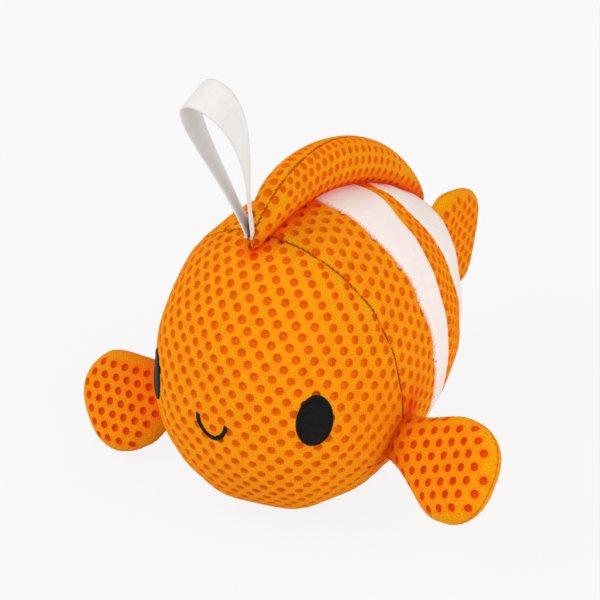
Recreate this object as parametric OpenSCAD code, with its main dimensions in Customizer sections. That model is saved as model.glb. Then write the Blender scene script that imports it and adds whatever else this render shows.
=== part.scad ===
// Squeaky bath toy: a stuffed clownfish sewn from air mesh, with a squeaker inside and a ribbon loop.
// The nose points to -Y, the back to +Z and the fish's left side to +X.
// The origin is on the flat of the belly, below the widest station of the body.

/* [Body] */
// Half the width of the body at its widest station
body_half_w = 39; // [35:0.5:43]
// Height of the back above the body's axis
back_h = 55; // [50:0.5:60]
// Depth of the belly below the body's axis, before it is pressed flat
belly_h = 38; // [34:0.5:42]
// Depth to which the belly is pressed flat where it rests
rest_flat = 0.5; // [0.3:0.1:0.8]
// Length of the face, from the widest station to the nose
face_l = 41.5; // [37:0.5:46]
// Roundness of the face: 2 is an ellipse, more is blunter
face_power = 2.25; // [2:0.05:2.6]
// Length from the widest station to the tail seam
rear_l = 85; // [80:1:92]
// Fullness of the back behind the widest station
back_power = 1.95; // [1.8:0.05:2.3]
// Fullness of the flanks behind the widest station
flank_power = 2.3; // [2:0.05:2.6]
// Fullness of the belly behind the widest station
belly_power = 3.2; // [2.8:0.05:3.4]
// Half the width of the body at the tail seam
tail_end_half_w = 4.5; // [4:0.1:6]
// Height of the tail seam above the axis
tail_end_up = 12.5; // [10:0.5:15]
// Depth of the tail seam below the axis
tail_end_low = 9; // [7:0.5:11]

/* [Cover] */
// Thickness of the air mesh
mesh_t = 2.5; // [2:0.1:3]
// Gap between two panels at a seam
seam_gap = 0.3; // [0.2:0.05:0.4]
// How late a seam turns as it climbs from the flank to the back
seam_bow = 2.4; // [1.5:0.1:3]
// Gill seam: its place along the body at the back, the flank and the belly
gill_seam = [-13.5, -3, 2]; // [-20:0.5:6]
// Front edge of the front stripe at the back, the flank and the belly, as shares of the rear length
stripe1_front = [0.112, 0.207, 0.282]; // [0.06:0.001:0.33]
// Rear edge of the front stripe at the back, the flank and the belly, as shares of the rear length
stripe1_rear = [0.382, 0.359, 0.4]; // [0.34:0.001:0.43]
// Front edge of the rear stripe at the back, the flank and the belly, as shares of the rear length
stripe2_front = [0.453, 0.559, 0.588]; // [0.44:0.001:0.61]
// Rear edge of the rear stripe at the back, the flank and the belly, as shares of the rear length
stripe2_rear = [0.8, 0.835, 0.847]; // [0.75:0.001:0.89]

/* [Face] */
// Turn of each eye from straight ahead, in degrees
eye_turn = 39.5; // [32:0.5:46]
// Height of the eyes above the axis, as an angle in degrees
eye_rise = 12.5; // [6:0.5:18]
// Width of an embroidered eye
eye_w = 10.5; // [8:0.5:12]
// Height of an embroidered eye
eye_h = 15.5; // [12:0.5:18]
// Lean of the top of an eye towards the cheek, in degrees
eye_lean = 8; // [0:1:15]
// Width of the smile between the middles of its ends
mouth_w = 9.3; // [8:0.1:12]
// Depth of the smile
mouth_h = 7; // [5:0.5:9]
// Height of the ends of the smile above the axis
mouth_rise = 6.5; // [3:0.5:8]
// Place of the smile to the fish's left of the middle
mouth_side = -1.4; // [-2:0.1:2]
// Width of the stitched line of the smile
mouth_line = 1.5; // [1:0.1:2.5]
// Height of the embroidery above the mesh
stitch_h = 0.8; // [0.5:0.1:1.2]
// Clearance between the embroidery and the mesh under it
stitch_gap = 0.25; // [0.2:0.05:0.4]

/* [Side fins] */
// Place of the fin roots along the body
fin_y = -4.7; // [-8:0.1:0]
// Height of the fin roots from the axis
fin_z = -8.7; // [-14:0.1:-4]
// Forward sweep of the fins, in degrees
fin_sweep = 20; // [8:1:28]
// Turn of the fins about their own length, lower edge forward, in degrees
fin_turn = 36; // [24:1:44]
// Droop of the left fin below the level, in degrees
left_fin_droop = -7; // [-15:1:20]
// Droop of the right fin below the level, in degrees
right_fin_droop = 34; // [20:1:34]
// Radius of the round end of a fin
fin_end_r = 14.6; // [13:0.2:17]
// Distance from the root to the centre of the round end
fin_reach = 25.5; // [24:0.1:29]
// Half the width of a fin at its root
fin_root_half_w = 7.2; // [6:0.1:9]

/* [Dorsal fin] */
// Front end of the dorsal fin along the body
dorsal_front = -16.5; // [-18:0.5:-14]
// Distance from the rear end of the dorsal fin to the tail seam
dorsal_stop = 9; // [6:0.5:15]
// Height of the dorsal fin above the back
dorsal_h = 14.5; // [12:0.5:17]
// Height of the dorsal fin at its two ends
dorsal_end_h = 2.5; // [2:0.5:4]

/* [Tail fin] */
// Length of the tail fin from the tail seam
tail_l = 26.5; // [24:0.5:31]
// Half the width of the tail fin
tail_half_w = 17.2; // [15:0.2:20]
// Downward slant of the tail fin, in degrees
tail_slant = 17; // [10:1:22]
// Squareness of the tail fin: 2 is an ellipse, more is squarer
tail_power = 3.2; // [2.4:0.1:4]

/* [Fin stuffing] */
// Half the thickness of a fin at its sewn edge
fin_edge_t = 1.3; // [1.1:0.1:1.6]
// Swell of each fin panel between the edges
fin_swell = 3.8; // [3.4:0.1:5]
// Length over which a fin flattens towards its root
fin_pinch = 10; // [8:0.5:14]
// Gap between a fin's root and the body, in which the seam turns
root_gap = 0.9; // [0.8:0.02:0.95]

/* [Hanging loop] */
// Width of the ribbon
ribbon_w = 12; // [8:0.5:12.5]
// Width to which the ribbon is folded at its root
loop_root_w = 4.5; // [3.5:0.1:5]
// Thickness of the ribbon
ribbon_t = 0.8; // [0.6:0.1:1.2]
// Length of the loop from its root to its top
loop_h = 54.5; // [48:0.5:60]
// Half the width of the loop
loop_half_w = 12; // [10:0.5:14]
// Lean of the loop to the fish's right, as a share of its height
loop_lean = 0.07; // [0:0.01:0.2]
// Tilt of the loop towards the nose, in degrees
loop_tilt = 15; // [5:1:25]
// Clearance between the loop's two ends, and between them and the back
loop_gap = 0.6; // [0.4:0.1:0.9]
// Distance from the loop's root to the front of the dorsal fin
loop_lead = 1.3; // [1:0.1:2]

/* [Squeaker] */
// Place of the squeaker along the body
squeaker_y = 8; // [4:0.5:14]
// Height of the squeaker above the body's axis
squeaker_z = 6; // [0:0.5:10]
// Outer radius of the bellows
bellows_r = 17; // [15:0.5:18]
// Depth of a fold of the bellows
bellows_fold = 3; // [2:0.25:4]
// Number of folds of the bellows
bellows_folds = 5; // [3:1:7]
// Wall of the bellows
bellows_wall = 1; // [0.8:0.1:1.4]
// Free length of the bellows between the caps
bellows_l = 30; // [26:0.5:34]
// Thickness of a cap's plate
cap_t = 2; // [1.5:0.25:3]
// Length of a cap's spigot inside the bellows
spigot_l = 4; // [3:0.5:5]
// Radius of the reed plug's stem
plug_r = 4; // [3.5:0.25:5]
// Length of the reed plug inside the bellows
plug_l = 7; // [6:0.5:9]
// Width of the reed plug's flange round its stem
plug_flange_w = 2; // [1.5:0.25:3]
// Thickness of the reed plug's flange
plug_flange_t = 1.5; // [1:0.25:2]
// Radius of the reed plug's air hole
air_r = 1.5; // [1:0.1:2]
// Width of the square reed
reed_w = 4; // [3.5:0.1:4.5]
// Thickness of the reed
reed_t = 0.3; // [0.2:0.05:0.4]
// Clearance between the pieces of the squeaker
squeaker_gap = 0.1; // [0.05:0.05:0.2]
// Clearance between the stuffing and what it surrounds or fills
stuffing_gap = 0.4; // [0.3:0.05:0.6]

/* [Hidden] */
$fn = 48;

orange = [0.97, 0.58, 0.08];
white = [0.97, 0.94, 0.93];
black = [0.08, 0.08, 0.08];
fibre = [0.93, 0.92, 0.88];
clear_blue = [0.75, 0.85, 0.92];

// Height of the body's axis above the surface it rests on
axis_z = belly_h - rest_flat;
tail_seam = [rear_l, rear_l, rear_l];
// Rear end of the dorsal fin along the body
dorsal_rear = rear_l - dorsal_stop;
// Number of steps round the whole body, along a cover panel and along the face
ring_steps = 36;
panel_steps = 4;
face_steps = 8;

// Share of the full size left at a place in front of the widest station, for a layer set in by inset
function nose_share(y, inset) =
  pow(max(0, 1 - pow(min(1, -y / (face_l - inset)), face_power)), 1 / face_power);
// Half size of the body's section at a place, from its full size to its size at the tail seam
function half_size(y, full, end, power, inset) = y < 0
  ? (full - inset) * nose_share(y, inset)
  : end - inset + (full - end) * (1 - pow(y / rear_l, power));
function half_w(y, inset) = half_size(y, body_half_w, tail_end_half_w, flank_power, inset);
function up_h(y, inset) = half_size(y, back_h, tail_end_up, back_power, inset);
function low_h(y, inset) = half_size(y, belly_h, tail_end_low, belly_power, inset);
// Point of the body's form: a is 0 at the back, 90 at the left flank and 180 at the belly
function body_pt(y, a, inset) = [
  half_w(y, inset) * sin(a),
  y,
  axis_z + (cos(a) > 0 ? up_h(y, inset) : low_h(y, inset)) * cos(a)];
// Place of a seam along the body at an angle round it
function seam(edge, a) =
  edge[1] + ((cos(a) > 0 ? edge[0] : edge[2]) - edge[1]) * pow(abs(cos(a)), seam_bow);
function mix(a, b, share) = a + (b - a) * share;

// Closed solid between two sheets of points, each a pole and the rings round it.
// Rings run anticlockwise as seen from outside; the inner sheet may be a pole alone.
module cap(outer, inner) {
  m = len(outer[1]);
  rings_o = len(outer) - 1;
  rings_i = len(inner) - 1;
  start_i = 1 + rings_o * m;
  points = concat([outer[0]], [for (k = [1:rings_o]) each outer[k]],
    [inner[0]], rings_i > 0 ? [for (k = [1:rings_i]) each inner[k]] : []);
  function o(k, j) = 1 + (k - 1) * m + j % m;
  function i(k, j) = rings_i == 0 ? start_i : start_i + 1 + (k - 1) * m + j % m;
  faces = concat(
    [for (j = [0:m - 1]) [0, o(1, j + 1), o(1, j)]],
    [for (k = [1:1:rings_o - 1], j = [0:m - 1]) each [
      [o(k, j), o(k, j + 1), o(k + 1, j + 1)],
      [o(k, j), o(k + 1, j + 1), o(k + 1, j)]]],
    rings_i == 0 ? [] : [for (j = [0:m - 1]) [start_i, i(1, j), i(1, j + 1)]],
    [for (k = [1:1:rings_i - 1], j = [0:m - 1]) each [
      [i(k, j), i(k + 1, j + 1), i(k, j + 1)],
      [i(k, j), i(k + 1, j), i(k + 1, j + 1)]]],
    [for (j = [0:m - 1]) [o(rings_o, j), o(rings_o, j + 1), i(rings_i, j + 1)]],
    rings_i == 0 ? [] : [for (j = [0:m - 1]) [o(rings_o, j), i(rings_i, j + 1), i(rings_i, j)]]);
  polyhedron(points, faces);
}

// Closed solid between two grids of points. From outside, rows run to one side and columns run on
// clockwise from them.
module slab(outer, inner) {
  rows = len(outer) - 1;
  cols = len(outer[0]) - 1;
  half = (rows + 1) * (cols + 1);
  points = concat([for (row = outer) each row], [for (row = inner) each row]);
  function o(i, j) = i * (cols + 1) + j;
  function n(i, j) = half + o(i, j);
  function quad(a, b, c, d) = [[a, b, c], [a, c, d]];
  faces = concat(
    [for (i = [0:rows - 1], j = [0:cols - 1]) each
      quad(o(i, j), o(i + 1, j), o(i + 1, j + 1), o(i, j + 1))],
    [for (i = [0:rows - 1], j = [0:cols - 1]) each
      quad(n(i, j), n(i, j + 1), n(i + 1, j + 1), n(i + 1, j))],
    [for (j = [0:cols - 1]) each quad(o(0, j), o(0, j + 1), n(0, j + 1), n(0, j))],
    [for (j = [0:cols - 1]) each
      quad(o(rows, j + 1), o(rows, j), n(rows, j), n(rows, j + 1))],
    [for (i = [0:rows - 1]) each quad(o(i + 1, 0), o(i, 0), n(i, 0), n(i + 1, 0))],
    [for (i = [0:rows - 1]) each
      quad(o(i, cols), o(i + 1, cols), n(i + 1, cols), n(i, cols))]);
  polyhedron(points, faces);
}

// Everything below the surface that the toy rests on
module below_rest() {
  reach = body_half_w + rear_l;
  translate([-reach, -reach, -belly_h])
    cube([2 * reach, 2 * reach, belly_h]);
}

// The whole body as one form, set in by inset, or grown where inset is negative
module body_form(inset, front_steps, rear_steps, round_steps) {
  nose = -(face_l - inset);
  end = rear_l - inset;
  places = concat(
    [for (k = [1:front_steps]) nose * (1 - pow(k / front_steps, 2))],
    [for (k = [1:rear_steps]) min(end, rear_l) * k / rear_steps],
    end > rear_l ? [end] : []);
  function ring(y) = [for (j = [0:round_steps - 1])
    let (p = body_pt(min(y, rear_l), -360 * j / round_steps, inset)) [p[0], y, p[2]]];
  cap(concat([[0, nose, axis_z]], [for (y = places) ring(y)]), [[0, end, axis_z]]);
}

// One side panel of the cover between two seams, on the left
module side_panel(front, rear) {
  steps = ring_steps / 2;
  function row(share, inset) = [for (j = [0:steps])
    let (
      a = 180 * j / steps,
      y = mix(seam(front, a) + seam_gap / 2, seam(rear, a) - seam_gap / 2, share),
      p = body_pt(y, a, inset))
    [max(p[0], seam_gap / 2), p[1], p[2]]];
  difference() {
    slab([for (i = [0:panel_steps]) row(i / panel_steps, 0)],
      [for (i = [0:panel_steps]) row(i / panel_steps, mesh_t)]);
    below_rest();
  }
}

module face_panel() {
  function ring(k, inset) = [for (j = [0:ring_steps - 1])
    let (a = -360 * j / ring_steps)
    body_pt(mix(inset - face_l, seam(gill_seam, a) - seam_gap / 2, pow(k / face_steps, 2)), a, inset)];
  function sheet(inset) = concat([[0, inset - face_l, axis_z]], [for (k = [1:face_steps]) ring(k, inset)]);
  color(orange)
    difference() {
      cap(sheet(0), sheet(mesh_t));
      below_rest();
    }
}

module left_shoulder_panel() {
  color(orange)
    side_panel(gill_seam, rear_l * stripe1_front);
}

module left_front_stripe() {
  color(white)
    side_panel(rear_l * stripe1_front, rear_l * stripe1_rear);
}

module left_mid_panel() {
  color(orange)
    side_panel(rear_l * stripe1_rear, rear_l * stripe2_front);
}

module left_rear_stripe() {
  color(white)
    side_panel(rear_l * stripe2_front, rear_l * stripe2_rear);
}

module left_tail_base() {
  color(orange)
    side_panel(rear_l * stripe2_rear, tail_seam);
}

// Point of the face in a direction from the axis, on a layer set in by inset
function on_face(p, inset) =
  let (
    section = norm([p[0] / (body_half_w - inset), p[2] / ((p[2] > 0 ? back_h : belly_h) - inset)]),
    size = pow(pow(-p[1] / (face_l - inset), face_power) + pow(section, face_power), 1 / face_power))
  [p[0] / size, p[1] / size, axis_z + p[2] / size];
function toward(turn, rise) = [sin(turn) * cos(rise), -cos(turn) * cos(rise), sin(rise)];

module left_eye() {
  steps = 20;
  rings = [0.6, 1];
  distance = norm(on_face(toward(eye_turn, eye_rise), 0) - [0, 0, axis_z]);
  degrees = 180 / (PI * distance);
  function spot(a, share, inset) =
    let (
      across = share * eye_w / 2 * cos(a),
      along = share * eye_h / 2 * sin(a),
      turn = (across * cos(eye_lean) + along * sin(eye_lean)) * degrees / cos(eye_rise),
      rise = (along * cos(eye_lean) - across * sin(eye_lean)) * degrees)
    on_face(toward(eye_turn + turn, eye_rise + rise), inset);
  function sheet(inset) = concat([spot(0, 0, inset)],
    [for (share = rings) [for (j = [0:steps - 1]) spot(360 * j / steps, share, inset)]]);
  color(black)
    cap(sheet(-stitch_gap - stitch_h), sheet(-stitch_gap));
}

module mouth() {
  steps = 14;
  function spot(share, side, inset) =
    let (
      a = 180 + 180 * share,
      x = mouth_side + (mouth_w / 2 + side * mouth_line / 2) * cos(a),
      z = mouth_rise + (mouth_h + side * mouth_line / 2) * sin(a))
    on_face([x, -face_l * nose_share_at(x, z), z], inset);
  function nose_share_at(x, z) =
    pow(1 - pow(norm([x / body_half_w, z / (z > 0 ? back_h : belly_h)]), face_power), 1 / face_power);
  function sheet(inset) = [for (i = [0:steps]) [for (side = [-1, 1]) spot(i / steps, side, inset)]];
  color(black)
    slab(sheet(-stitch_gap - stitch_h), sheet(-stitch_gap));
}

// Side fins: length runs out from the root, width runs across it, and thickness is square to both
function fin_out(droop) = [cos(droop) * cos(fin_sweep), -cos(droop) * sin(fin_sweep), -sin(droop)];
function fin_across(droop) =
  let (
    out = fin_out(droop),
    down = [0, 0, -1] + out * out[2],
    down_unit = down / norm(down))
  down_unit * cos(fin_turn) - cross(out, down_unit) * sin(fin_turn);
fin_root_x = half_w(fin_y, 0) * sqrt(1 - pow(fin_z / low_h(fin_y, 0), 2));
fin_root = [fin_root_x, fin_y, axis_z + fin_z];
// How far the fins run on below the cover before the body cuts them
fin_sink = 4;
// Share of a fin panel's swell that is hollow, which leaves the mesh its full thickness in the middle
fin_hollow = (fin_edge_t + fin_swell - mesh_t - seam_gap / 2) / fin_swell;
// Middle of a side fin, where it is thickest
fin_middle = 0.65 * fin_reach;
// Place of the rings of a fin's filling and of its panels, as shares from the middle to the edge
filling_rings = [0.5, 0.76];
panel_rings = concat(filling_rings, [1]);

// Outline of a side fin: a round end and two straight sides that run in to the root
function side_fin_outline() =
  let (
    arc_steps = 18,
    root_steps = 4,
    run = fin_reach + fin_sink,
    open = atan2(fin_root_half_w, -run) - acos(fin_end_r / norm([run, fin_root_half_w])))
  concat(
    [for (k = [0:arc_steps]) let (a = mix(-open, open, k / arc_steps))
      [fin_reach + fin_end_r * cos(a), fin_end_r * sin(a)]],
    [for (k = [0:root_steps]) [-fin_sink, mix(fin_root_half_w, -fin_root_half_w, k / root_steps)]]);

// Outline of the tail fin: a squared ellipse
function signed_power(value, power) = sign(value) * pow(abs(value), power);
function tail_outline() =
  let (steps = 24, half_l = (tail_l + fin_sink) / 2)
  [for (k = [0:steps - 1]) let (a = 360 * k / steps)
    [tail_l - half_l + half_l * signed_power(cos(a), 2 / tail_power),
      tail_half_w * signed_power(sin(a), 2 / tail_power)]];

// Swell of a fin panel at a share of the way to its edge and a distance from its root
function swell(share, out) =
  fin_swell * (1 - pow(share, 2)) * pow(sin(90 * min(1, max(0, out) / fin_pinch)), 2);
// Sheet of a fin at a share of its swell plus a thickness, as a pole and rings
function fin_sheet(outline, middle, rings, swell_share, thickness) = concat(
  [[middle, 0, thickness + swell_share * swell(0, middle)]],
  [for (share = rings) [for (p = outline)
    let (out = mix(middle, p[0], share))
    [out, p[1] * share, thickness + swell_share * swell(share, out)]]]);

// One of a fin's two panels, lying flat with its outside up
module fin_panel(outline, middle) {
  cap(fin_sheet(outline, middle, panel_rings, 1, fin_edge_t),
    fin_sheet(outline, middle, panel_rings, fin_hollow, seam_gap / 2));
}

// The filling between a fin's two panels, which thins to nearly nothing towards the edge and the root
module fin_filling(outline, middle) {
  least = seam_gap / 3;
  function half_t(share, out) = max(least, seam_gap / 2 - stuffing_gap + fin_hollow * swell(share, out));
  function side(way) = concat(
    [[middle, 0, way * half_t(0, middle)]],
    [for (share = filling_rings) [for (p = outline)
      let (out = mix(middle, p[0], share))
      [out, p[1] * share, way * half_t(share, out)]]]);
  cap(side(1), side(-1));
}

// The body grown by the gap in which a fin's seam turns
module root_cut() {
  body_form(inset = -root_gap, front_steps = 6, rear_steps = 9, round_steps = 30);
}

// Sets a flat fin on the left side at its droop and cuts its root to the body
module set_side_fin(droop) {
  out = fin_out(droop);
  across = fin_across(droop);
  up = cross(out, across);
  difference() {
    multmatrix([
      [out[0], across[0], up[0], fin_root[0]],
      [out[1], across[1], up[1], fin_root[1]],
      [out[2], across[2], up[2], fin_root[2]]])
      children();
    root_cut();
  }
}

module side_fin_front(droop) {
  color(orange)
    set_side_fin(droop)
      mirror([0, 0, 1])
        fin_panel(side_fin_outline(), fin_middle);
}

module side_fin_back(droop) {
  color(orange)
    set_side_fin(droop)
      fin_panel(side_fin_outline(), fin_middle);
}

module side_fin_filling(droop) {
  color(fibre)
    set_side_fin(droop)
      fin_filling(side_fin_outline(), fin_middle);
}

// Sets a flat fin in the middle plane at the tail seam and cuts its root to the body
module set_tail_fin() {
  difference() {
    translate([0, rear_l, axis_z + (tail_end_up - tail_end_low) / 2])
      rotate([-tail_slant, 0, 0])
        multmatrix([[0, 0, 1, 0], [1, 0, 0, 0], [0, 1, 0, 0]])
          children();
    root_cut();
  }
}

module tail_left_panel() {
  color(orange)
    set_tail_fin()
      fin_panel(tail_outline(), tail_l / 2);
}

module tail_right_panel() {
  color(orange)
    set_tail_fin()
      mirror([0, 0, 1])
        fin_panel(tail_outline(), tail_l / 2);
}

module tail_filling() {
  color(fibre)
    set_tail_fin()
      fin_filling(tail_outline(), tail_l / 2);
}

// Shape of the dorsal fin's edge: how level its middle is, and how full its front and its rear are
dorsal_level = 3;
dorsal_front_fullness = 0.3;
dorsal_rear_fullness = 1;
// How close to its two ends the dorsal fin keeps its swell
dorsal_swell_power = 8;
// Shares of the dorsal fin's height at which its filled sides are set out
dorsal_heights = [0.8, 0.5, 0.2];
// Shares of the dorsal fin's length between which it is filled
dorsal_filled = [0.06, 0.92];

// Height of the dorsal fin at a share of its length: a steep round front and a long fall to the tail
function dorsal_rise(share) =
  let (
    fullness = share < 0.5 ? dorsal_front_fullness : dorsal_rear_fullness,
    arch = pow(max(0, 1 - pow(abs(2 * share - 1), dorsal_level)), fullness))
  mix(dorsal_end_h, dorsal_h, arch);
// Swell of the dorsal fin's side, from nothing at its edge, root and ends
function dorsal_swell(share, rise) =
  fin_swell * (1 - pow(2 * rise - 1, 2)) * (1 - pow(2 * share - 1, dorsal_swell_power));
function dorsal_pt(share, rise, x) =
  let (y = mix(dorsal_front, dorsal_rear, share), top = axis_z + up_h(y, 0))
  [x, y, top + (rise < 0 ? -fin_sink : rise * dorsal_rise(share))];

// One side panel of the dorsal fin, on the left
module dorsal_panel() {
  steps = 18;
  rises = concat([1], dorsal_heights, [0, -1]);
  function side(hollow, t) = [for (i = [0:steps]) [for (rise = rises)
    dorsal_pt(i / steps, rise, t + hollow * max(0, dorsal_swell(i / steps, max(0, rise))))]];
  difference() {
    slab(side(1, fin_edge_t), side(fin_hollow, seam_gap / 2));
    root_cut();
  }
}

module dorsal_left_panel() {
  color(orange)
    dorsal_panel();
}

module dorsal_right_panel() {
  color(orange)
    mirror([1, 0, 0])
      dorsal_panel();
}

module dorsal_filling() {
  steps = 12;
  function side(way) = [for (i = [0:steps]) [for (rise = dorsal_heights)
    let (share = mix(dorsal_filled[0], dorsal_filled[1], i / steps))
    dorsal_pt(share, rise,
      way * (seam_gap / 2 - stuffing_gap + fin_hollow * dorsal_swell(share, rise)))]];
  color(fibre)
    slab(side(1), side(-1));
}

// How strongly the loop narrows to its root, and how late the ribbon opens from its fold there
loop_narrowing = 3;
ribbon_opening = 4.4;
// Middle line of the ribbon, from one end at the back seam round to the other
loop_y = dorsal_front - loop_lead - loop_root_w / 2;
loop_across = [0, cos(loop_tilt), sin(loop_tilt)];
loop_up = [0, -sin(loop_tilt), cos(loop_tilt)];
loop_root_end = loop_y + loop_root_w / 2 * loop_across[1];
loop_z = axis_z + up_h(loop_root_end, 0) + loop_gap - loop_root_w / 2 * loop_across[2];
function loop_pt(t) =
  let (rise = loop_h * (1 - cos(360 * t)) / 2,
    side = loop_half_w * sin(360 * t) * pow(sin(180 * t), loop_narrowing)
      + (ribbon_t / 2 + loop_gap / 2) * cos(180 * t) - loop_lean * rise)
  [side, loop_y, loop_z] + rise * loop_up;

module hanging_loop() {
  steps = 44;
  nudge = 0.001;
  function normal(t) =
    let (run = loop_pt(min(1, t + nudge)) - loop_pt(max(0, t - nudge)), face = cross(loop_across, run))
    face / norm(face);
  function width(t) = mix(loop_root_w, ribbon_w, pow(sin(180 * t), ribbon_opening));
  function side(way) = [for (i = [0:steps]) [for (edge = [-0.5, 0.5])
    loop_pt(i / steps) + way * ribbon_t / 2 * normal(i / steps) + edge * width(i / steps) * loop_across]];
  color(white)
    slab(side(1), side(-1));
}

// Sets a squeaker piece, turned about its own axis, with that axis across the body
module at_squeaker() {
  translate([0, squeaker_y, axis_z + squeaker_z])
    rotate([0, 90, 0])
      children();
}
half_bellows = bellows_l / 2;
// Length of half a fold, and the wall of the bellows measured out from its axis
half_fold_l = bellows_l / (2 * bellows_folds);
radial_wall = bellows_wall * norm([bellows_fold, half_fold_l]) / half_fold_l;
spigot_r = bellows_r - bellows_fold - radial_wall - squeaker_gap;

module squeaker_bellows() {
  function wave(inset) = [for (k = [0:2 * bellows_folds])
    [bellows_r - inset - (k % 2 == 0 ? bellows_fold : 0), half_fold_l * k - half_bellows]];
  function reversed(list) = [for (k = [len(list) - 1:-1:0]) list[k]];
  color(clear_blue)
    at_squeaker()
      rotate_extrude()
        polygon(concat(wave(0), reversed(wave(radial_wall))));
}

// End plate of the bellows, with the hollow spigot that the bellows is pressed on
module squeaker_cap() {
  translate([0, 0, half_bellows + squeaker_gap]) {
    cylinder(r = bellows_r, h = cap_t);
    translate([0, 0, -spigot_l])
      difference() {
        cylinder(r = spigot_r, h = spigot_l);
        translate([0, 0, -cap_t])
          cylinder(r = spigot_r - bellows_wall, h = spigot_l + cap_t);
      }
  }
}

module squeaker_left_cap() {
  color(clear_blue)
    at_squeaker()
      squeaker_cap();
}

module squeaker_right_cap() {
  color(clear_blue)
    at_squeaker()
      mirror([0, 0, 1])
        difference() {
          squeaker_cap();
          cylinder(r = plug_r + squeaker_gap, h = bellows_l);
        }
}

// Plug in the right cap: its stem ends inside the bellows and its flange lies on the cap
plug_seat = half_bellows + cap_t + 2 * squeaker_gap;
plug_end = half_bellows - plug_l;

module reed_plug() {
  color(white)
    at_squeaker()
      mirror([0, 0, 1])
        difference() {
          union() {
            translate([0, 0, plug_end])
              cylinder(r = plug_r, h = plug_seat - plug_end + plug_flange_t);
            translate([0, 0, plug_seat])
              cylinder(r = plug_r + plug_flange_w, h = plug_flange_t);
          }
          cylinder(r = air_r, h = 2 * bellows_l);
        }
}

module reed() {
  color(black)
    at_squeaker()
      mirror([0, 0, 1])
        translate([-reed_w / 2, -reed_w / 2, plug_end - squeaker_gap - reed_t])
          cube([reed_w, reed_w, reed_t]);
}

// Room that the squeaker takes in the stuffing, as a twelve-sided prism
module squeaker_room() {
  sides = 12;
  half_l = plug_seat + plug_flange_t + stuffing_gap;
  at_squeaker()
    translate([0, 0, -half_l])
      cylinder(r = (bellows_r + stuffing_gap) / cos(180 / sides), h = 2 * half_l, $fn = sides);
}

module left_stuffing() {
  reach = 2 * rear_l;
  color(fibre)
    difference() {
      body_form(inset = mesh_t + stuffing_gap, front_steps = 5, rear_steps = 8, round_steps = 24);
      translate([stuffing_gap / 2 - reach, -reach, -reach])
        cube([reach, 2 * reach, 2 * reach]);
      squeaker_room();
    }
}

module on_right() {
  mirror([1, 0, 0])
    children();
}

face_panel();
left_shoulder_panel();
on_right() left_shoulder_panel();  // right_shoulder_panel
left_front_stripe();
on_right() left_front_stripe();  // right_front_stripe
left_mid_panel();
on_right() left_mid_panel();  // right_mid_panel
left_rear_stripe();
on_right() left_rear_stripe();  // right_rear_stripe
left_tail_base();
on_right() left_tail_base();  // right_tail_base
left_eye();
on_right() left_eye();  // right_eye
mouth();
side_fin_front(left_fin_droop);  // left_fin_front_panel
side_fin_back(left_fin_droop);  // left_fin_back_panel
side_fin_filling(left_fin_droop);  // left_fin_filling
on_right() side_fin_front(right_fin_droop);  // right_fin_front_panel
on_right() side_fin_back(right_fin_droop);  // right_fin_back_panel
on_right() side_fin_filling(right_fin_droop);  // right_fin_filling
dorsal_left_panel();
dorsal_right_panel();
dorsal_filling();
tail_left_panel();
tail_right_panel();
tail_filling();
hanging_loop();
left_stuffing();
on_right() left_stuffing();  // right_stuffing
squeaker_left_cap();
squeaker_right_cap();
squeaker_bellows();
reed_plug();
reed();
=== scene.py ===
# %% [markdown]
# # A stuffed clownfish for the bath
# The toy is a hand-sized fish sewn from air mesh: an orange face, orange and white bands round the
# body, stuffed fins and a white ribbon loop. The eye reads it by its rows of round holes and its sewn
# creases, so each cover panel is cut here as flat cloth with real holes and then laid on the body.

# %% Load the frame
import math

import bpy
import numpy as np
from mathutils import Matrix, Vector, geometry, noise


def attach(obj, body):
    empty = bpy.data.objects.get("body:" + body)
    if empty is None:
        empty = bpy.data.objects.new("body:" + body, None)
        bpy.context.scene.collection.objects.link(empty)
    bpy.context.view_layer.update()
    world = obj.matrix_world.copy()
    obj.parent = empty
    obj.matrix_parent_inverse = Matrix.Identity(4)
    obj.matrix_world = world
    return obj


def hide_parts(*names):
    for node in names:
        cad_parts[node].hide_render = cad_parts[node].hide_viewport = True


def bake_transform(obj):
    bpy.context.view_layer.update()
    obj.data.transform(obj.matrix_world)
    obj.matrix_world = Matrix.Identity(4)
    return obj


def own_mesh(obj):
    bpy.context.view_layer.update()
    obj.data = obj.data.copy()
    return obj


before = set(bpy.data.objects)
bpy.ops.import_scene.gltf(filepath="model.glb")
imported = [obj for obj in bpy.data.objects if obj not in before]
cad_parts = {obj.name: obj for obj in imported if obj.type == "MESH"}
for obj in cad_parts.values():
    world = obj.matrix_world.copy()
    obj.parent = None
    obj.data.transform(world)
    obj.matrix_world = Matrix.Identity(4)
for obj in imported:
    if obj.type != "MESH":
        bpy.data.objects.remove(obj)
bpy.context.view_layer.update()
MM = 0.001
print("solids in the frame:", len(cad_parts))

# %% [markdown]
# ## Camera
# The picture was taken from a little to the fish's left and about thirty degrees above, with a long
# lens. A camera could be set by eye, but here its angles are written down as measured, with a small
# roll, so that the model can be laid over the picture.

# %% Camera
PICTURE_SIDE = 600
FOCAL_PIXELS = 2278
AZIMUTH, ELEVATION, ROLL = (math.radians(angle) for angle in (32.81, 30.79, -1.67))
AIM = Vector((-11.53, 22.0, 46.86)) * MM
CAMERA_DISTANCE = 690.6 * MM

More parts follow.
